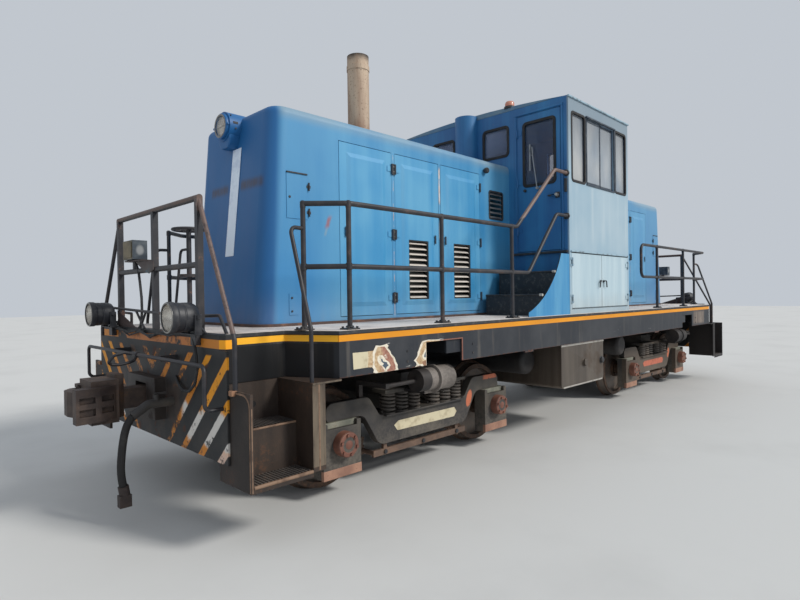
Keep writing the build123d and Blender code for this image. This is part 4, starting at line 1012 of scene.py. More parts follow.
blue_hood = blue_paint("hood_blue", HOOD_BLUE, HOOD_FADED, SHADED_NOSE_BLUE)
blue_door = blue_paint("hood_door_blue", DOOR_BLUE, DOOR_FADED, slats=True)
blue_cab = cab_paint()
pale = pale_paint("locker_door_paint")
grey_roof = roof_paint()
grey_deck = deck_paint()
black_sill = sill_paint()
striped_sheet = end_sheet_paint()
rusty_step = step_iron()
step_paint = cab_step_paint()
step_edge = step_edge_paint()
old_coats = peeled_paint()
black_rail = rail_paint()
brown_coupler = iron_finish("coupler_iron", (48, 38, 36), (84, 69, 60), (104, 80, 62), 0.3, scale=9.0)
black_truck = truck_iron()
brown_wheel = wheel_steel()
dull_tank = tank_steel()
brown_stack = exhaust_steel()
clear_glass = window_glass()
clear_lens = lens_glass()
bright_reflector = reflector()
rubber = rubber_finish("window_rubber")
hose_rubber = rubber_finish("brake_hose_rubber", (22, 21, 22))
black_metal = plain_paint("black_fittings", (36, 38, 42), (78, 72, 66), 0.5, 20.0)
# Near-black that stands for shade in gaps and holes: painted shade.
shade_black = plain_paint("painted_shade_black", (16, 17, 20), (26, 26, 28), 0.8)
engine_iron = iron_finish("engine_iron", (78, 84, 82), (104, 108, 104), (80, 64, 52), 0.2)
spring_steel = iron_finish("spring_steel", (60, 56, 53), (102, 94, 86), (104, 80, 64), 0.3)
journal_iron = iron_finish("journal_iron", (108, 68, 56), (140, 94, 76), (74, 58, 52), 0.2, scale=9.0)
brake_iron = brake_finish()
end_box_finish = box_paint()
gusset_iron = iron_finish("gusset_iron", (58, 42, 40), (78, 72, 70), (64, 112, 132), 0.2, scale=7.0)
bare_metal = iron_finish("worn_steel_pads", (150, 146, 140), (190, 186, 178), (120, 96, 80), 0.1,
                         scale=12.0, roughness=0.4, metallic=0.3)
seat_cloth = plain_paint("seat_cloth", (58, 54, 52), (92, 84, 76), 0.8, 30.0)
grey_inside = plain_paint("cab_inside_grey", (126, 130, 126), (150, 150, 144), 0.6)
white_paint = plain_paint("white_line_paint", (230, 242, 255), (188, 204, 226), 0.55, 5.0)
amber_dome = plain_paint("beacon_dome", (182, 98, 74), (206, 142, 118), 0.35, 8.0, coat_weight=0.3)
primer_patch = plain_paint("primer_patch", (188, 104, 80), (140, 82, 62), 0.65, 12.0)
headlight_face = plain_paint("headlight_face", (172, 164, 156), (204, 198, 190), 0.3, 6.0)
reservoir_iron = iron_finish("reservoir_iron", (26, 26, 28), (46, 43, 42), (70, 54, 44), 0.15)
cream_paint = plain_paint("cream_patch", (206, 196, 166), (168, 154, 124), 0.6, 12.0)
dark_sash = plain_paint("window_frame_metal", (44, 56, 70), (84, 92, 98), 0.45, 12.0)
pale_lip = plain_paint("drip_lip_paint", (150, 176, 190), (96, 104, 108), 0.55, 16.0)
wiper_metal = plain_paint("wiper_metal", (146, 150, 152), (90, 90, 88), 0.4, 20.0)
rusty_seam = plain_paint("hood_seam_rust", (78, 62, 58), (128, 92, 74), 0.8, 9.0)
lamp_black = plain_paint("lamp_housing", (38, 40, 46), (70, 70, 72), 0.5, 16.0)
rim_metal = plain_paint("lamp_rim", (132, 130, 126), (88, 84, 78), 0.35, 18.0, metallic=0.4)
tread_iron = iron_finish("tread_iron", (48, 44, 42), (84, 76, 70), (104, 78, 60), 0.3, scale=9.0)
rust_tan = plain_paint("rusty_edge", (150, 112, 86), (104, 72, 54), 0.75, 14.0)
wiring = plain_paint("wiring", (26, 27, 30), (52, 52, 54), 0.6, 30.0)
black_plate = iron_finish("black_step_plate", (31, 25, 22), (50, 41, 36), (82, 60, 48), 0.25, scale=7.0)
pad_iron = iron_finish("axle_box_pad", (96, 98, 88), (138, 136, 122), (110, 84, 66), 0.2, scale=9.0)
rust_plate = iron_finish("rusty_tie_plate", (134, 98, 82), (168, 128, 106), (100, 70, 58), 0.2, scale=9.0)
tank_lip_steel = plain_paint("tank_lip", (176, 172, 164), (130, 122, 112), 0.4, 9.0, metallic=0.3)
peel_white = plain_paint("peeled_edge", (226, 218, 200), (186, 172, 148), 0.7, 30.0)
peel_blue = plain_paint("peeled_blue_grey", (70, 84, 98), (98, 104, 108), 0.7, 40.0)


# The solids' own finishes: the first row with a part of the node's name counts

DRESS = (
    (grey_deck, ("deck_plate",)),
    (black_sill, ("underframe", "jack_pads")),
    (striped_sheet, ("end_sheets",)),
    (rusty_step, ("step_wells",)),
    (black_rail, ("side_handrails", "end_handrails", "uncoupling_levers", "hand_brake")),
    (blue_hood, ("hood_shells",)),
    (blue_door, ("hood_door_",)),
    (engine_iron, ("engine_blocks",)),
    (brown_stack, ("exhaust_stacks",)),
    (black_metal, ("lamps",)),
    (blue_cab, ("cab_walls", "cab_door_front", "cab_door_rear")),
    (grey_roof, ("cab_roof",)),
    (clear_glass, ("cab_glass", "cab_door_glass_")),
    (pale, ("cabinet_door_",)),
    (grey_inside, ("cab_fittings",)),
    (step_paint, ("cab_steps",)),
    (dull_tank, ("fuel_tank",)),
    (reservoir_iron, ("air_reservoirs",)),
    (brown_coupler, ("couplers", "coupler_knuckle_", "hose_coupling")),
    (hose_rubber, ("brake_hose",)),
    (brown_wheel, ("wheelset_",)),
    (spring_steel, ("_springs",)),
    (brake_iron, ("_brakes",)),
    (black_truck, ("angle_cock", "truck_")),
)
for name, node in frame["nodes"].items():
    finish = next(finish for finish, parts in DRESS if any(part in name for part in parts))
    node.data.materials.clear()
    node.data.materials.append(finish)


# Windows

# Places along or across, and up, of the side windows, the small end windows and the tall ones
SIDE_WINDOWS = ((-0.745, -0.42), (0.42, 0.745))
SIDE_WINDOW_Z = (2.94, 3.737)
END_WINDOWS = ((0.25, 0.62), (-0.62, -0.25))
END_WINDOW_Z = (3.37, 3.728)
TALL_WINDOW_Z = (2.944, 3.7)


def window_seal(shape, u, v, out, place, cover=0.02, radius=0.055):
    """A rubber strip with round corners over the edge of a window."""
    middle = ((u[0] + u[1]) / 2, (v[0] + v[1]) / 2)
    half_u = (u[1] - u[0]) / 2
    half_v = (v[1] - v[0]) / 2
    outer = rounded_rectangle(middle, half_u + cover, half_v + cover, radius)
    inner = rounded_rectangle(middle, half_u - 0.014, half_v - 0.014, radius - 0.025)
    return shape.ring(outer, inner, out, place)


seals = Shape()
for along in SIDE_WINDOWS:
    window_seal(seals, along, SIDE_WINDOW_Z, (1.425, 1.447), on_side, 0.016, 0.05)
for across in END_WINDOWS:
    window_seal(seals, across, END_WINDOW_Z, (0.81, 0.831), on_end, 0.02, 0.06)
window_seal(seals, (-1.262, -0.852), TALL_WINDOW_Z, (0.81, 0.831), on_end, 0.022)
seals.half_turned().make("window_seals", rubber, "cab_blue", bevel=0.004)

for end in ENDS:
    door_seal = window_seal(Shape(), (0.852, 1.262), TALL_WINDOW_Z, (0.812, 0.831), on_end, 0.022)
    door_seal.at(end).make(f"cab_door_seal_{end}", rubber, "cab_blue", f"cab_door_{end}", bevel=0.004)

# Two sashes, one behind the other, each of two upright bars and two level ones
sash_bars = []
for low, high, out in ((-0.372, 0.012, 1.408), (-0.012, 0.372, 1.423)):
    depth = (out, out + 0.012)
    sash_bars += [((low, low + 0.028), depth, (2.945, 3.732)), ((high - 0.028, high), depth, (2.945, 3.732))]
    sash_bars += [((low, high), depth, (2.945, 2.972)), ((low, high), depth, (3.7, 3.732))]

# Bars, plates and panes, turned half round for the rear half:
# name, material, slot, width of the soft edges, then the places on x, y and z
BARS = (
    ("sliding_sashes", dark_sash, "cab_blue", 0.003, sash_bars),
    ("sliding_glass", clear_glass, "glass", 0.0, (
        ((-0.35, -0.01), (1.4125, 1.4155), (2.965, 3.71)),
        ((0.01, 0.35), (1.4275, 1.4305), (2.965, 3.71)))),
    ("sliding_window_frame", dark_sash, "cab_blue", 0.003, (
        ((-0.4, 0.4), (1.438, 1.462), (3.737, 3.756)),
        ((-0.402, -0.378), (1.438, 1.452), (2.93, 3.745)),
        ((0.378, 0.392), (1.438, 1.446), (2.93, 3.745)),
        ((-0.39, 0.39), (1.438, 1.452), (2.926, 2.942)))),
    ("cab_drip_lips", pale_lip, "cab_blue", 0.004, (
        ((-0.835, 0.835), (1.436, 1.458), (3.893, 3.913)),
        ((-0.8, 0.8), (1.4395, 1.455), (2.106, 2.124)))),
    # Near-black strips under the drip lip over the lockers and along the lockers' foot: painted shadow in the
    # gaps.
    ("cab_dark_seams", shade_black, "cab_blue", 0.0, (
        ((-0.79, 0.79), (1.4385, 1.4425), (2.0985, 2.1065)),
        ((-0.78, 0.78), (1.4385, 1.4415), (1.4405, 1.4455)))),
    ("cab_door_frames", blue_cab, "cab_blue", 0.004, (
        ((0.822, 0.833), (0.715, 0.745), (2.12, 3.835)),
        ((0.822, 0.833), (1.35, 1.375), (2.12, 3.835)),
        ((0.822, 0.838), (0.715, 1.375), (3.815, 3.84)))),
    ("cab_door_sills", black_metal, "cab_blue", 0.004, (
        ((0.822, 0.862), (0.7, 1.425), (2.098, 2.126)),
        ((0.822, 0.845), (1.385, 1.422), (2.99, 3.055)),
        ((0.822, 0.845), (1.39, 1.418), (2.8, 2.955)),
        ((0.822, 0.845), (1.385, 1.422), (2.485, 2.555)))),
    ("slant_rail_feet", rust_tan, "step_rust", 0.004, (
        ((4.963, 5.003), (-1.312, -1.268), (1.0, 1.034)),
        ((4.963, 5.003), (1.268, 1.312), (1.0, 1.034)))),
)
for name, material, slot, bevel, places in BARS:
    bars = Shape()
    for x, y, z in places:
        bars.block(x, y, z)
    bars.half_turned().make(name, material, slot, bevel=bevel)


# Cab

for end in ENDS:
    door = f"cab_door_{end}"
    lock = Shape().block((0.822, 0.834), (1.27, 1.325), (2.745, 2.815))
    lock.block((0.834, 0.868), (1.19, 1.3), (2.772, 2.79))
    lock.tube(((0.83, 0.868, 2.885), (0.852, 0.868, 2.885)), 0.018)
    lock.at(end).make(f"cab_door_handle_{end}", black_metal, "cab_blue", door, bevel=0.003)
    profile = ((0, 0.058), (0.014, 0.058), (0.02, 0.052), (0.02, 0.0), (0, 0.0))
    knob = Shape().lathe(profile, (0.822, 1.3, 2.781), (1, 0, 0), 20)
    knob.at(end).make(f"cab_door_lock_{end}", bare_metal, "cab_blue", door, bevel=0.002)
    arm = ((0.834, 1.045, 2.895), (0.86, 1.045, 2.9), (0.853, 0.995, 3.22), (0.841, 0.972, 3.4))
    wiper = Shape().tube(arm, 0.006, 8, 0.03)
    wiper.block((0.829, 0.8365), (0.93, 0.945), (3.12, 3.44))
    wiper.tube(((0.836, 0.9375, 3.3), (0.846, 0.955, 3.31), (0.848, 0.985, 3.29)), 0.004, 8, 0.01)
    wiper.tube(((0.822, 1.045, 2.895), (0.866, 1.045, 2.895)), 0.016)
    wiper.at(end).make(f"wiper_{end}", wiper_metal, "cab_blue", door)
    for side in SIDES:
        grip = ((0.04, 1.44, 1.77), (0.04, 1.462, 1.775), (0.082, 1.464, 1.778), (0.098, 1.462, 1.695))
        handle = Shape().tube(grip, 0.0075, 10, 0.025)
        handle.tube(((0.04, 1.4395, 1.77), (0.04, 1.452, 1.77)), 0.016, 14)
        handle.to_corner(end, side)
        handle.make(f"locker_handle_{end}_{side}", black_metal, "cab_blue", f"cabinet_door_{end}_{side}")

# Worn nosings of the cab steps and their bright ends: name, material, places across, radius
for name, material, low, high, radius in (
    ("cab_step_nosings", black_metal, 0.69, 1.422, 0.011),
    ("cab_step_nosing_ends", bare_metal, 1.4, 1.4355, 0.015),
):
    nosings = Shape()
    for x, z in ((1.15, 1.873), (1.42, 1.613)):
        nosings.tube(((x, low, z), (x, high, z)), radius, 10)
    nosings.half_turned().make(name, material, "step_rust")

# Domes over the cab's corners and what they stand on: name, material, height, profile
for name, material, z, profile in (
    ("cab_beacons", amber_dome, 3.982,
     ((0, 0.075), (0.025, 0.073), (0.047, 0.064), (0.058, 0.046), (0.06, 0.012), (0.06, 0))),
    ("cab_beacon_bases", black_metal, 3.967,
     ((0, 0.018), (0.068, 0.018), (0.072, 0.01), (0.072, -0.012), (0, -0.012))),
):
    Shape().lathe(profile, (0.775, 0.62, z), (0, 0, 1), 28).half_turned().make(name, material, "cab_blue")

seat_cushions = Shape().block((-0.015, 0.435), (-1.285, -0.815), (2.6, 2.71))
seat_cushions.block((-0.055, 0.045), (-1.275, -0.825), (2.7, 3.19)).half_turned()
seats = seat_cushions.make("seat_cushions", seat_cloth, "cab_inside_grey", bevel=0.03, segments=4)


# Hoods

# The rusty seam along the hood's foot, round its nose corners
seam_turns = range(0, 91, 15)
seam = [*arc((4.224, 0.477), (0.164, 0.164), seam_turns), (0.823, 0.641), (0.823, 0.617)]
seam += reversed(arc((4.224, 0.477), (0.14, 0.14), seam_turns))
hood_seam = Shape().prism(seam, (1.385, 1.409), on_top).mirrored(y=-1)
hood_seam.block((4.362, 4.388), (-0.478, 0.478), (1.385, 1.409))
hood_seam.half_turned().make("hood_base_seam", rusty_seam, "hood_blue", bevel=0.003)

# The white line up the raked nose
stripe_low = Vector((4.3325, 0.04, 1.995))
stripe_high = Vector((4.2595, 0.08, 2.945))
half_stripe = 0.073
rake = Vector((1, 0, 0.0799)).normalized() * 0.0022
corners = []
for out in (0, 1):
    for point, way in ((stripe_low, -1), (stripe_low, 1), (stripe_high, 1), (stripe_high, -1)):
        corners.append(point + Vector((0, way * half_stripe, 0)) + rake * out - rake * 3)
nose_stripe = Shape()
nose_stripe.add(corners, ((0, 1, 2, 3), (4, 5, 6, 7), (0, 1, 5, 4), (1, 2, 6, 5), (2, 3, 7, 6), (3, 0, 4, 7)))
nose_stripe.make("nose_white_line", white_paint, "hood_blue")

side_trim = Shape().block((3.905, 4.115), (0.626, 0.64), (2.671, 2.683))
window_seal(side_trim, (0.967, 1.253), (2.537, 2.872), (0.612, 0.633), on_side, 0.008, 0.035)
side_trim.tube(((4.086, 0.63, 2.47), (4.086, 0.637, 2.47)), 0.011)
for hinge_z in (2.352, 2.574):
    side_trim.tube(((3.893, 0.64, hinge_z - 0.035), (3.893, 0.64, hinge_z + 0.035)), 0.008, 10)
    side_trim.block((3.873, 3.913), (0.626, 0.637), (hinge_z - 0.012, hinge_z + 0.012))
for bolt_z in (1.509, 1.621):
    side_trim.tube(((4.079, 0.632, bolt_z), (4.079, 0.64, bolt_z)), 0.009, 10)
side_trim.mirrored(y=-1).half_turned().make("hood_side_trim", black_metal, "hood_blue", bevel=0.002)

# Black hinge plates on the column between the two front doors, each with two worn screws
column_plates = Shape()
column_screws = Shape()
for hinge_z in (1.608, 2.234, 2.881):
    column_plates.block((2.8535, 2.8745), (0.6255, 0.6385), (hinge_z - 0.054, hinge_z + 0.054))
    for screw_z in (hinge_z - 0.024, hinge_z + 0.024):
        column_screws.tube(((2.864, 0.637, screw_z), (2.864, 0.6425, screw_z)), 0.0075, 10)
column_plates.mirrored(y=-1).half_turned().make("hinge_column_plates", black_metal, "hood_blue")
column_screws.mirrored(y=-1).half_turned().make("hinge_column_screws", rim_metal, "hood_blue")

profile = (
    (0, 0.055), (0.026, 0.055), (0.034, 0.045), (0.034, 0.02), (0.022, 0.012), (0.022, -0.01), (0, -0.01),
)
marker_lamp = Shape().lathe(profile, (1.34, 0.627, 3.095), (0, 1, 0), 20)
marker_lamp.mirrored(y=-1).half_turned().make("hood_marker_lamps", black_metal, "hood_blue")

for end in ENDS:
    for side in SIDES:
        for number, louvre_x in ((2, (2.3615, 2.6615)), (3, (1.6425, 1.9425))):
            edge = window_seal(Shape(), louvre_x, (1.586, 2.196), (0.6, 0.634), on_side, 0.01, 0.05)
            panel = f"{end}_{side}_{number}"
            edge.to_corner(end, side)
            edge.make(f"louvre_edge_{panel}", rubber, "hood_blue", f"hood_door_{panel}", bevel=0.004)


# Lamps

# Radius, place along the lamp
LAMP_HOUSING = (
    (0, 0.006), (0.04, 0.008), (0.072, 0.016), (0.092, 0.032), (0.1, 0.054), (0.102, 0.074),
    (0.102, 0.112), (0.099, 0.116), (0.099, 0.122), (0.102, 0.126), (0.102, 0.164), (0.107, 0.17),
    (0.108, 0.176), (0.108, 0.206), (0.104, 0.213), (0.094, 0.2145), (0.091, 0.206),
)
LAMP_BOWL = ((0.0915, 0.206), (0.084, 0.176), (0.066, 0.15), (0.04, 0.134), (0.018, 0.128), (0, 0.127))
LAMP_LENS = ((0.0925, 0.204), (0.075, 0.209), (0.04, 0.2125), (0, 0.2135))
LAMP_RIM = ((0.0935, 0.2155), (0.1035, 0.214), (0.1035, 0.208), (0.0935, 0.208))

housings, bowls, lenses, rims = [Shape() for part in range(4)]
for y in (0.84, -0.84):
    origin = (5.0, y, 1.5)
    housings.lathe(LAMP_HOUSING, origin, (1, 0, 0), 40)
    bowls.lathe(LAMP_BOWL, origin, (1, 0, 0), 40)
    lenses.lathe(LAMP_LENS, origin, (1, 0, 0), 40)
    rims.lathe(LAMP_RIM, origin, (1, 0, 0), 40, closed=True)
    housings.block((4.995, 5.035), (y - 0.04, y + 0.04), (1.305, 1.44))
    for across in (-1, 1):
        edge = y + across * 0.109
        housings.block((5.02, 5.07), (edge - 0.004, edge + 0.004), (1.385, 1.52))
        housings.tube(((5.045, edge, 1.5), (5.045, edge + across * 0.02, 1.5)), 0.014)
    housings.block((5.02, 5.07), (y - 0.113, y + 0.113), (1.379, 1.387))
    housings.tube(((4.995, y + 0.03, 1.43), (4.975, y + 0.05, 1.4), (4.97, y + 0.06, 1.386)), 0.009, 8, 0.01)
housings.half_turned().make("deck_lamp_housings", lamp_black, "lamp_metal", bevel=0.002, replaces=("lamps",))
bowls.half_turned().make("deck_lamp_reflectors", bright_reflector, "lamp_metal")
lenses.half_turned().make("deck_lamp_lenses", clear_lens, "glass")
rims.half_turned().make("deck_lamp_rims", rim_metal, "lamp_metal")

headlight_z = 3.142
headlight_axis = (4.345, 0, headlight_z)
profile = ((0.092, 0.03), (0.104, 0.03), (0.112, 0.022), (0.112, -0.004), (0.098, -0.004), (0.094, 0.02))
headlight_rim = Shape().lathe(profile, headlight_axis, (1, 0, 0), 44, closed=True)
headlight_rim.tube(((4.36, 0.112, headlight_z), (4.36, 0.128, headlight_z)), 0.009, 10)
headlight_rim.tube(((4.36, -0.112, headlight_z), (4.36, -0.134, headlight_z)), 0.012, 10)
headlight_rim.half_turned().make("headlight_rims", blue_hood, "hood_blue", bevel=0.002)

profile = ((0.088, 0.028), (0.096, 0.0325), (0.103, 0.0305), (0.099, 0.024))
headlight_ring = Shape().lathe(profile, headlight_axis, (1, 0, 0), 44, closed=True)
headlight_ring.block((4.35, 4.3565), (-0.0035, 0.0035), (headlight_z + 0.004, headlight_z + 0.093))
headlight_ring.block((4.35, 4.3565), (-0.094, 0.094), (headlight_z - 0.004, headlight_z + 0.002))
headlight_ring.half_turned().make("headlight_rings", rim_metal, "lamp_metal")

profile = ((0, -0.0005), (0.099, -0.0005), (0.099, 0.006), (0, 0.006))
headlight_dish = Shape().lathe(profile, headlight_axis, (1, 0, 0), 40)
bulb = ((0, 0.013), (0.03, 0.012), (0.043, 0.009), (0.046, 0.004), (0, 0.004))
for z in (headlight_z + 0.046, headlight_z - 0.046):
    headlight_dish.lathe(bulb, (4.345, 0, z), (1, 0, 0), 28)
headlight_dish.half_turned().make("headlight_reflectors", headlight_face, "lamp_metal")

profile = ((0, 0.026), (0.05, 0.025), (0.0925, 0.021), (0.0925, 0.018), (0, 0.023))
headlight_lens = Shape().lathe(profile, headlight_axis, (1, 0, 0), 40)
headlight_lens.half_turned().make("headlight_lenses", clear_lens, "glass")

pod_clips = Shape().block((4.27, 4.315), (0.119, 0.131), (headlight_z + 0.008, headlight_z + 0.026))
pod_clips.tube(((4.292, 0.123, headlight_z - 0.032), (4.292, 0.133, headlight_z - 0.032)), 0.007, 8)
pod_clips.tube(((4.325, 0.1, headlight_z + 0.08), (4.325, 0.107, headlight_z + 0.086)), 0.007, 8)
pod_clips.half_turned().make("headlight_clips", black_metal, "hood_blue")

# The deeper underside of the headlight pod
outline = ((-0.1, 3.085), (-0.092, 2.995), (-0.06, 2.95), (0.06, 2.95), (0.092, 2.995), (0.1, 3.085))
pod_base = Shape().prism(outline, (4.235, 4.338), on_end)
pod_base.half_turned().make("headlight_pod_bases", blue_hood, "hood_blue", bevel=0.012)

guard_bars = Shape().tube(((4.985, -0.93, 1.552), (4.985, 0.75, 1.497)), 0.012, 10)
guard_bars.tube(((4.985, -0.345, 1.528), (4.985, -0.25, 1.45), (4.985, -0.165, 1.386)), 0.01, 8, 0.02)
guard_bars.tube(((4.985, -0.135, 1.522), (4.985, -0.21, 1.44), (4.985, -0.285, 1.386)), 0.01, 8, 0.02)
for across in (-1, 1):
    route = ((4.9, across * 0.7, 1.5), (4.9, across * 0.969, 1.508), (4.9, across * 1.065, 1.384))
    guard_bars.tube(route, 0.012, 10, 0.03)
    guard_bars.tube(((4.9, across * 0.7, 1.5), (4.9, across * 0.7, 1.384)), 0.012, 10)
guard_bars.half_turned().make("lamp_guard_bars", black_rail, "rail_black")

# A stiffening plate beside the far lamp, and the bent plate that carries the box on the middle rail
gussets = Shape()
for outline, out in (
    (((-0.805, 1.53), (-0.785, 1.385), (-0.355, 1.385)), (4.978, 4.986)),
    (((-0.545, 1.962), (-0.545, 1.95), (-0.18, 1.946), (-0.18, 1.957)), (4.905, 5.005)),
    (((-0.345, 1.945), (0.04, 1.936), (0.045, 1.862), (-0.055, 1.835), (-0.16, 1.862)), (4.98, 4.987)),
):
    gussets.prism(outline, out, on_end)
gussets.half_turned().make("end_rail_gussets", gusset_iron, "rail_black", bevel=0.002)

# Wiring along the beam's top edge, up to the box and down from the near lamp: radius, then the route
WIRE_ROUTES = (
    (0.01, (
        (5.008, -1.0, 1.45), (5.01, -0.93, 1.4), (5.008, -0.83, 1.378), (5.008, -0.67, 1.366),
        (5.01, -0.5, 1.357), (5.008, -0.31, 1.37), (5.01, -0.17, 1.358), (5.014, -0.04, 1.338),
        (5.01, 0.11, 1.344), (5.008, 0.26, 1.374), (5.008, 0.52, 1.368), (5.012, 0.74, 1.384),
        (5.03, 0.8, 1.42))),
    (0.0075, (
        (5.012, -0.86, 1.402), (5.02, -0.64, 1.378), (5.022, -0.43, 1.346), (5.016, -0.21, 1.378),
        (5.02, -0.08, 1.352), (5.024, 0.05, 1.322), (5.018, 0.17, 1.362), (5.012, 0.4, 1.352),
        (5.012, 0.62, 1.392), (5.03, 0.78, 1.41))),
    (0.0065, ((5.006, -0.6, 1.35), (5.02, -0.42, 1.322), (5.016, -0.24, 1.352), (5.012, -0.1, 1.372))),
    (0.011, (
        (4.965, -0.4, 1.95), (4.968, -0.345, 1.89), (4.97, -0.315, 1.85), (4.972, -0.285, 1.767),
        (4.974, -0.25, 1.64), (4.976, -0.239, 1.526), (4.98, -0.252, 1.44), (4.984, -0.262, 1.386))),
    (0.011, (
        (5.02, 0.8, 1.4), (5.03, 0.85, 1.315), (5.034, 0.882, 1.24), (5.034, 0.895, 1.136),
        (5.03, 0.848, 1.037), (5.026, 0.745, 0.974), (5.022, 0.644, 0.968), (5.016, 0.555, 1.001),
        (5.006, 0.477, 1.055))),
)
wires = Shape()
for radius, route in WIRE_ROUTES:
    wires.tube(route, radius, 8, 0.05)
wires.half_turned().make("lamp_wiring", wiring, "hose_rubber")


# Handrails and end rails

corner_post = (4.105, 1.415)
POST_PLACES = (
    (4.35, 1.19), corner_post, (3.057, 1.415), (1.972, 1.415),
    (4.35, -1.19), (3.068, -1.415), (1.922, -1.415),
)
feet = Shape()
collars = Shape()
foot_bolts = []
for x, y in POST_PLACES:
    profile = ((0.019, 0.03), (0.03, 0.026), (0.032, 0.015), (0.0, 0.015), (0.0, 0.03))
    feet.lathe(profile, (x, y, 1.385), (0, 0, 1), 20)
    feet.block((x - 0.058, x + 0.058), (y - 0.048, y + 0.048), (1.3852, 1.3955))
    profile = ((0.0245, -0.022), (0.0245, 0.022), (0.019, 0.028), (0.019, -0.028))
    collars.lathe(profile, (x, y, 1.849), (0, 0, 1), 16, closed=True)
    profile = ((0, 0.024), (0.012, 0.022), (0.021, 0.012), (0.0215, -0.03), (0, -0.03))
    collars.lathe(profile, (x, y, 2.312), (0, 0, 1), 16)
    for along in (-0.042, 0.042):
        for across in (-0.032, 0.032):
            foot_bolts.append(((x + along, y + across, 1.402), (0, 0, 1)))
            foot_bolts.append(((-x - along, -y - across, 1.402), (0, 0, 1)))
feet.half_turned().make("handrail_feet", black_metal, "rail_black", bevel=0.002)
bolts("handrail_foot_bolts", black_metal, "rail_black", foot_bolts, 0.01, 0.012)
collars.half_turned().make("handrail_collars", black_rail, "rail_black")

# A second post beside the handrail's cut corner
corner_posts = Shape().tube(((*corner_post, 1.386), (*corner_post, 2.312)), 0.019, 16)
corner_posts.half_turned().make("handrail_corner_posts", black_rail, "rail_black")

rail_ends = Shape()
for z in (3.014, 2.52):
    profile = ((0.0, 0.016), (0.03, 0.014), (0.036, 0.004), (0.036, 0.0), (0, 0))
    rail_ends.lathe(profile, (0.823, 1.415, z), (1, 0, 0), 20)
rail_ends.half_turned().make("handrail_wall_ends", black_metal, "rail_black", bevel=0.002)

end_box = Shape().block((4.8935, 5.0165), (-0.5415, -0.3185), (1.9655, 2.1285))
end_box.block((5.016, 5.022), (-0.525, -0.335), (1.982, 2.112))
end_box.tube(((4.955, -0.43, 1.967), (4.955, -0.43, 1.945)), 0.02, 14)
end_box.half_turned().make("end_rail_boxes", end_box_finish, "rail_black", bevel=0.006)

# The coupler lock's lifting arm: a bent bar from the middle of the uncoupling lever, out over the coupler
arm = (
    (5.12, 0.0, 1.195), (5.118, -0.01, 1.15), (5.165, -0.01, 1.133), (5.244, -0.01, 1.123),
    (5.298, -0.01, 1.13), (5.318, 0.0, 1.152), (5.28, 0.01, 1.198), (5.205, 0.01, 1.216),
    (5.15, 0.01, 1.2),
)
lifter = Shape().tube(arm, 0.012, 10, 0.03).tube(((5.12, -0.05, 1.195), (5.12, 0.05, 1.195)), 0.022, 14)
lifter.half_turned().make("coupler_lifting_arms", black_rail, "rail_black")


# Side sills

SILL_BOLTS = ((3.555, 1.183), (3.555, 1.1), (2.7, 1.18), (2.7, 1.1), (-3.5, 1.18), (-3.5, 1.1))
sill_bolts = []
for way in (-1, 1):
    for along, z in SILL_BOLTS:
        sill_bolts.append(((way * along, way * 1.468, z), (0, way, 0)))
bolts("sill_bolts", black_metal, "sill_black", sill_bolts, 0.01, 0.008)

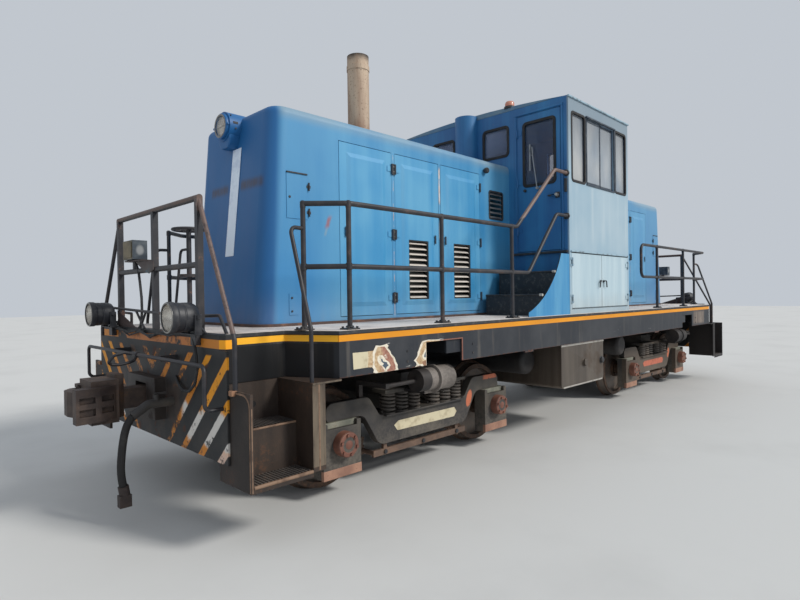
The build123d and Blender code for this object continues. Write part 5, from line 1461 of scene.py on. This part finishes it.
# Places on the left sill where the black paint has peeled:
# name, finish, how far it stands proud, then the outlines' corners along and up
PEELED = (
    ("peeled_cream", cream_paint, 0.0006, (
        ((4.128, 1.216), (3.975, 1.214), (3.981, 1.096), (4.053, 1.095), (4.121, 1.094)),)),
    ("peeled_tan", old_coats, 0.0004, (
        ((3.985, 1.215), (3.927, 1.216), (3.929, 1.091), (3.987, 1.097)),)),
    ("peeled_edges", peel_white, 0.0007, (
        ((3.897, 1.254), (3.855, 1.248), (3.807, 1.253), (3.784, 1.258), (3.765, 1.242), (3.777, 1.228),
         (3.747, 1.199), (3.737, 1.176), (3.723, 1.165), (3.699, 1.142), (3.69, 1.12), (3.686, 1.111),
         (3.669, 1.085), (3.671, 1.066), (3.661, 1.045), (3.798, 1.044), (3.904, 1.044), (3.927, 1.052),
         (3.921, 1.072), (3.937, 1.092), (3.925, 1.129), (3.934, 1.15), (3.929, 1.168), (3.933, 1.202)),
        ((3.381, 1.25), (3.31, 1.258), (3.23, 1.2535), (3.158, 1.25), (3.158, 1.2395), (3.332, 1.2395),
         (3.332, 1.046), (3.354, 1.05), (3.38, 1.044), (3.416, 1.054), (3.471, 1.046), (3.45, 1.063),
         (3.459, 1.082), (3.483, 1.101), (3.458, 1.118), (3.44, 1.14), (3.437, 1.165), (3.424, 1.181),
         (3.404, 1.222)))),
    ("peeled_hearts", old_coats, 0.001, (
        ((3.881, 1.241), (3.808, 1.239), (3.781, 1.209), (3.758, 1.187), (3.741, 1.161), (3.717, 1.134),
         (3.707, 1.108), (3.694, 1.082), (3.691, 1.052), (3.708, 1.045), (3.878, 1.046), (3.9, 1.078),
         (3.916, 1.109), (3.912, 1.157), (3.911, 1.186)),
        ((3.365, 1.24), (3.306, 1.249), (3.231, 1.246), (3.162, 1.243), (3.162, 1.2395), (3.334, 1.2395),
         (3.336, 1.06), (3.354, 1.062), (3.423, 1.064), (3.442, 1.083), (3.456, 1.1), (3.421, 1.138),
         (3.404, 1.179)))),
    ("peeled_islands", peel_white, 0.0013, (
        ((3.882, 1.164), (3.862, 1.177), (3.829, 1.173), (3.809, 1.152), (3.799, 1.137), (3.762, 1.114),
         (3.746, 1.087), (3.763, 1.067), (3.787, 1.057), (3.784, 1.047), (3.811, 1.047), (3.818, 1.065),
         (3.844, 1.092), (3.87, 1.114), (3.886, 1.14)),
        ((3.352, 1.172), (3.338, 1.193), (3.336, 1.102), (3.345, 1.089), (3.376, 1.108), (3.383, 1.135)))),
    ("peeled_spots", peel_blue, 0.0016, (
        ((3.85, 1.149), (3.833, 1.145), (3.827, 1.127), (3.786, 1.116), (3.78, 1.1), (3.766, 1.092),
         (3.787, 1.081), (3.801, 1.063), (3.814, 1.079), (3.834, 1.096), (3.817, 1.107), (3.843, 1.126)),
        ((3.352, 1.147), (3.34, 1.165), (3.34, 1.119), (3.35, 1.112), (3.362, 1.122)))),
    ("peeled_primer", rust_tan, 0.0013, (
        ((3.385, 1.082), (3.336, 1.09), (3.336, 1.048), (3.372, 1.05)),)),
)
for name, material, proud, outlines in PEELED:
    peel = Shape()
    for outline in outlines:
        peel.prism(outline, (sill_face - 0.002, sill_face + proud), on_side)
    peel.make(name, material, "sill_black", sharp=20)


# Steps at the corners

profile = ((0.0065, 0), (0.0095, 0.0045), (0.0065, 0.0075), (0.004, 0.004))
stud = Shape().lathe(profile, (0, 0, 0), (0, 0, 1), 8).closed("tread_stud")

turns = range(15, 91, 15)
edges = Shape().tube(((4.507, 1.483, 0.444), (4.955, 1.483, 0.444)), 0.0125)
edges.tube(((4.507, 1.286, 0.757), (4.955, 1.286, 0.757)), 0.008, 10)
front_rim = [(1.478, 0.415), (1.478, 0.94), *arc((1.388, 0.94), (0.09, 0.078), turns), (1.26, 1.018)]
edges.tube([(4.965, y, z) for y, z in front_rim], 0.0125)
edges.tube(((4.45, 1.484, 0.445), (4.45, 1.484, 1.03)), 0.009, 10)
edges.mirrored(y=-1).half_turned().make("step_edges", step_edge, "step_rust")

outline = [(1.085, 0.412), (1.47, 0.412), (1.47, 0.94), *arc((1.388, 0.94), (0.082, 0.07), turns)]
outline += [(1.237, 1.01), (1.178, 0.7), (1.088, 0.51)]
front_plates = Shape().prism(outline, (4.974, 4.9765), on_end)
front_plates.mirrored(y=-1).half_turned().make("step_front_plates", black_plate, "step_rust")

# Black ovals on the step risers stand for the dark insides of the lamp holes: painted shade.
holes = Shape()
for out in ((-1.0655, -1.063), (1.063, 1.0655)):
    holes.prism(arc((4.722, 0.879), (0.036, 0.024), range(0, 360, 15)), out, on_side)
holes.half_turned().make("step_lamp_holes", shade_black, "step_rust")

# Raised studs on the treads: part of the name, place across, height, rows, width
STUDS = (("", 1.378, 0.45, 8, 0.17), ("middle_", 1.165, 0.763, 9, 0.2))
for end, way in ENDS.items():
    for side, across in SIDES.items():
        for part, out, z, rows, width in STUDS:
            chequered.grow(stud, f"step_tread_{part}{end}_{side}", tread_iron, "step_rust", columns=17,
                           rows=rows, length=0.42, width=width, middle=(way * 4.73, across * out, z))


# Trucks

# Radius, place out from the axle box
JOURNAL_CAP = (
    (0, 0.084), (0.03, 0.084), (0.036, 0.08), (0.062, 0.0795), (0.066, 0.084), (0.094, 0.083),
    (0.101, 0.076), (0.1025, 0.066), (0.1025, 0.0), (0.0, 0.0),
)
# The cream panel's corners, along and up from its middle
CREAM_PANEL = ((-0.44, 0.0), (-0.405, 0.046), (0.385, 0.046), (0.44, 0.012), (0.4, -0.04), (-0.4, -0.046))
cap_turns = [60 * number + 17.188734 for number in range(6)]
truck_x = 2.85
half_wheelbase = 1.059
axle_z = 0.444
spring_wire = 0.0125
spring_foot = 0.583
spring_head = 0.768
for end, way in ENDS.items():
    truck = f"truck_{end}"
    places = []
    plates = Shape()
    for along in (0.14, 0.302, 0.464):
        for x in (way * truck_x - along, way * truck_x + along):
            for y in (-0.97, 0.97):
                places.append((x, y, spring_foot + spring_wire))
                for z, profile, sides in (
                    (spring_foot, ((0.0, 0.008), (0.073, 0.008), (0.075, 0.0), (0, 0)), 24),
                    (spring_head, ((0.0, 0.0), (0.075, 0.0), (0.073, -0.008), (0, -0.008)), 24),
                    (spring_foot, ((0.03, 0.0), (0.03, 0.183), (0, 0.183), (0, 0)), 12),
                ):
                    plates.lathe(profile, (x, y, z), (0, 0, 1), sides)
    height = spring_head - spring_foot - 2 * spring_wire
    coil_springs.grow(points_mesh(f"spring_places_{end}", places), f"coil_springs_{end}", spring_steel,
                      "spring_steel", truck, replaces=(f"{truck}_springs",), sharp=80,
                      turns=5.0, radius=0.075 - spring_wire, height=height, wire=spring_wire)
    plates.make(f"spring_plates_{end}", spring_steel, "spring_steel", truck)

    caps, pads, lower_plates, panels = [Shape() for part in range(4)]
    cap_bolts = []
    pins = []
    for across in (-1, 1):
        out = (0, across, 0)
        for along in (-half_wheelbase, half_wheelbase):
            axle_x = way * truck_x + along
            caps.lathe(JOURNAL_CAP, (axle_x, across * 1.07, axle_z), out, 36)
            for x, z in arc((axle_x, axle_z), (0.08, 0.08), cap_turns):
                cap_bolts.append(((x, across * 1.158, z), out))
            y = sorted((across * 0.916, across * 1.038))
            pads.block((axle_x - 0.185, axle_x + 0.185), y, (0.568, 0.617))
            y = sorted((across * 1.038, across * 1.073))
            lower_plates.block((axle_x - 0.197, axle_x + 0.197), y, (0.174, 0.252))
        middle = way * truck_x - across * way * 0.02
        outline = [(middle + u, 0.455 + v) for u, v in CREAM_PANEL]
        panels.prism(outline, sorted((across * 1.0098, across * 1.0118)), on_side)
        for along in (-0.5, 0.0, 0.5):
            pins.append(((way * truck_x + along, across * 0.9795, 0.2425), out))
    caps.make(f"journal_caps_{end}", journal_iron, "journal_iron", truck, bevel=0.003)
    bolts(f"journal_bolts_{end}", journal_iron, "journal_iron", cap_bolts, 0.013, 0.018, truck)
    pads.make(f"axle_box_pads_{end}", pad_iron, "truck_iron", truck, bevel=0.008)
    lower_plates.make(f"axle_box_ties_{end}", rust_plate, "truck_iron", truck, bevel=0.004)
    panel_coat = cream_paint if end == "front" else primer_patch
    panels.make(f"truck_cream_panels_{end}", panel_coat, "truck_iron", truck)
    bolts(f"brake_bar_pins_{end}", black_metal, "brake_iron", pins, 0.02, 0.014, truck, sides=10)


# Solids whose edges are rounded: nodes, finish, slot, width of the soft edges

for nodes, material, slot, width in (
    ("couplers coupler_knuckle_front coupler_knuckle_rear", brown_coupler, "coupler_rust", 0.014),
    ("truck_front_frame truck_rear_frame", black_truck, "truck_iron", 0.008),
    ("truck_front_axle_boxes truck_rear_axle_boxes", black_truck, "truck_iron", 0.006),
    ("truck_front_brakes truck_rear_brakes", brake_iron, "brake_iron", 0.004),
    ("end_sheets", striped_sheet, "sill_black", 0.005),
    ("fuel_tank", dull_tank, "tank_steel", 0.006),
    ("cab_walls", blue_cab, "cab_blue", 0.006),
    ("cab_roof", grey_roof, "roof_grey", 0.012),
    ("deck_plate", grey_deck, "deck_grey", 0.004),
    ("underframe", black_sill, "sill_black", 0.003),
):
    for node in nodes.split():
        softened(node, material, slot, width)


# Fuel tank and stacks

tank_caps = Shape()
tank_lips = Shape()
for across in (-1, 1):
    profile = ((0, 0.03), (0.028, 0.03), (0.038, 0.024), (0.038, 0.004), (0.048, 0.0), (0, 0))
    tank_caps.lathe(profile, (0.056, across * 1.445, 0.79), (0, across, 0), 28)
    out = sorted((across * 1.44, across * 1.449))
    tank_lips.block((0.03, 1.01), out, (0.5445, 0.562))
    tank_lips.block((-0.012, 1.052), out, (1.018, 1.043))
tank_caps.make("tank_caps", black_metal, "tank_steel", bevel=0.002)
tank_lips.make("tank_lips", tank_lip_steel, "tank_steel", bevel=0.003)

stack_turns = [45 * number + 11.459156 for number in range(8)]
stack_bolts = []
for way in (1, -1):
    for x, y in arc((way * 2.757, 0), (0.148, 0.148), stack_turns):
        stack_bolts.append(((x, y, 3.252), (0, 0, 1)))
bolts("stack_bolts", brown_stack, "exhaust_steel", stack_bolts, 0.01, 0.012)


# Brake hose

HOSE_PLACES = (
    (5.29, 0.4, 0.79),
    (5.318, 0.4, 0.752),
    (5.34, 0.396, 0.69),
    (5.353, 0.39, 0.61),
    (5.362, 0.385, 0.52),
    (5.366, 0.379, 0.43),
    (5.361, 0.374, 0.36),
    (5.35, 0.37, 0.3),
)
hose_radius = 0.027
hose_curve = bpy.data.curves.new("brake_hose_line", "CURVE")
hose_curve.dimensions = "3D"
hose_curve.bevel_depth = hose_radius
hose_curve.bevel_resolution = 6
hose_curve.resolution_u = 16
hose_curve.use_fill_caps = True
hose_line = hose_curve.splines.new("NURBS")
hose_line.points.add(len(HOSE_PLACES) - 1)
for point, place in zip(hose_line.points, HOSE_PLACES):
    point.co = (*place, 1)
hose_line.order_u = 3
hose_line.use_endpoint_u = True
hose_curve.materials.append(hose_rubber)
hose = bpy.data.objects.new("brake_hose_tube", hose_curve)
bpy.context.scene.collection.objects.link(hose)
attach(hose, "frame")
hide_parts("brake_hose")


# Floor, light and camera

floor_shape = Shape().block((-60, 60), (-60, 60), (-0.02, 0))
floor_paint = plain_paint("studio_floor", (206, 206, 204), (198, 198, 196), 0.9, 0.5)
floor_data = floor_shape.closed("studio_floor")
floor_data.materials.append(floor_paint)
floor = bpy.data.objects.new("studio_floor", floor_data)
bpy.context.scene.collection.objects.link(floor)

world = bpy.data.worlds.new("soft_sky")
world.use_nodes = True
sky = world.node_tree.nodes["Background"]
sky.inputs["Color"].default_value = (0.86, 0.92, 1.0, 1)
sky.inputs["Strength"].default_value = 0.62
bpy.context.scene.world = world

sun = bpy.data.lights.new("sun", "SUN")
sun.energy = 2.4
sun.angle = math.radians(12)
sun.color = (1.0, 0.97, 0.92)
sun_lamp = bpy.data.objects.new("sun", sun)
sun_lamp.rotation_mode = "QUATERNION"
sun_lamp.rotation_quaternion = Vector((-0.35, 0.75, 0.6)).to_track_quat("Z", "Y")
bpy.context.scene.collection.objects.link(sun_lamp)

focal_length = 24.84
eye = Vector((6.7209, 4.5449, 1.6313))
heading, pitch, roll = [math.radians(turn) for turn in (44.9, -0.5, -0.8)]
ahead = Vector((-math.cos(heading) * math.cos(pitch), -math.sin(heading) * math.cos(pitch), math.sin(pitch)))
level_right = ahead.cross(Vector((0, 0, 1))).normalized()
level_up = level_right.cross(ahead)
right = math.cos(roll) * level_right + math.sin(roll) * level_up
up = -math.sin(roll) * level_right + math.cos(roll) * level_up
lens = bpy.data.cameras.new("photo_camera")
lens.lens = focal_length
lens.sensor_width = 36
lens.clip_start = 0.05
lens.clip_end = 200
camera = bpy.data.objects.new("photo_camera", lens)
camera.matrix_world = Matrix.Translation(eye) @ Matrix((right, up, -ahead)).transposed().to_4x4()
bpy.context.scene.collection.objects.link(camera)
bpy.context.scene.camera = camera

bpy.context.scene.view_settings.view_transform = "Standard"
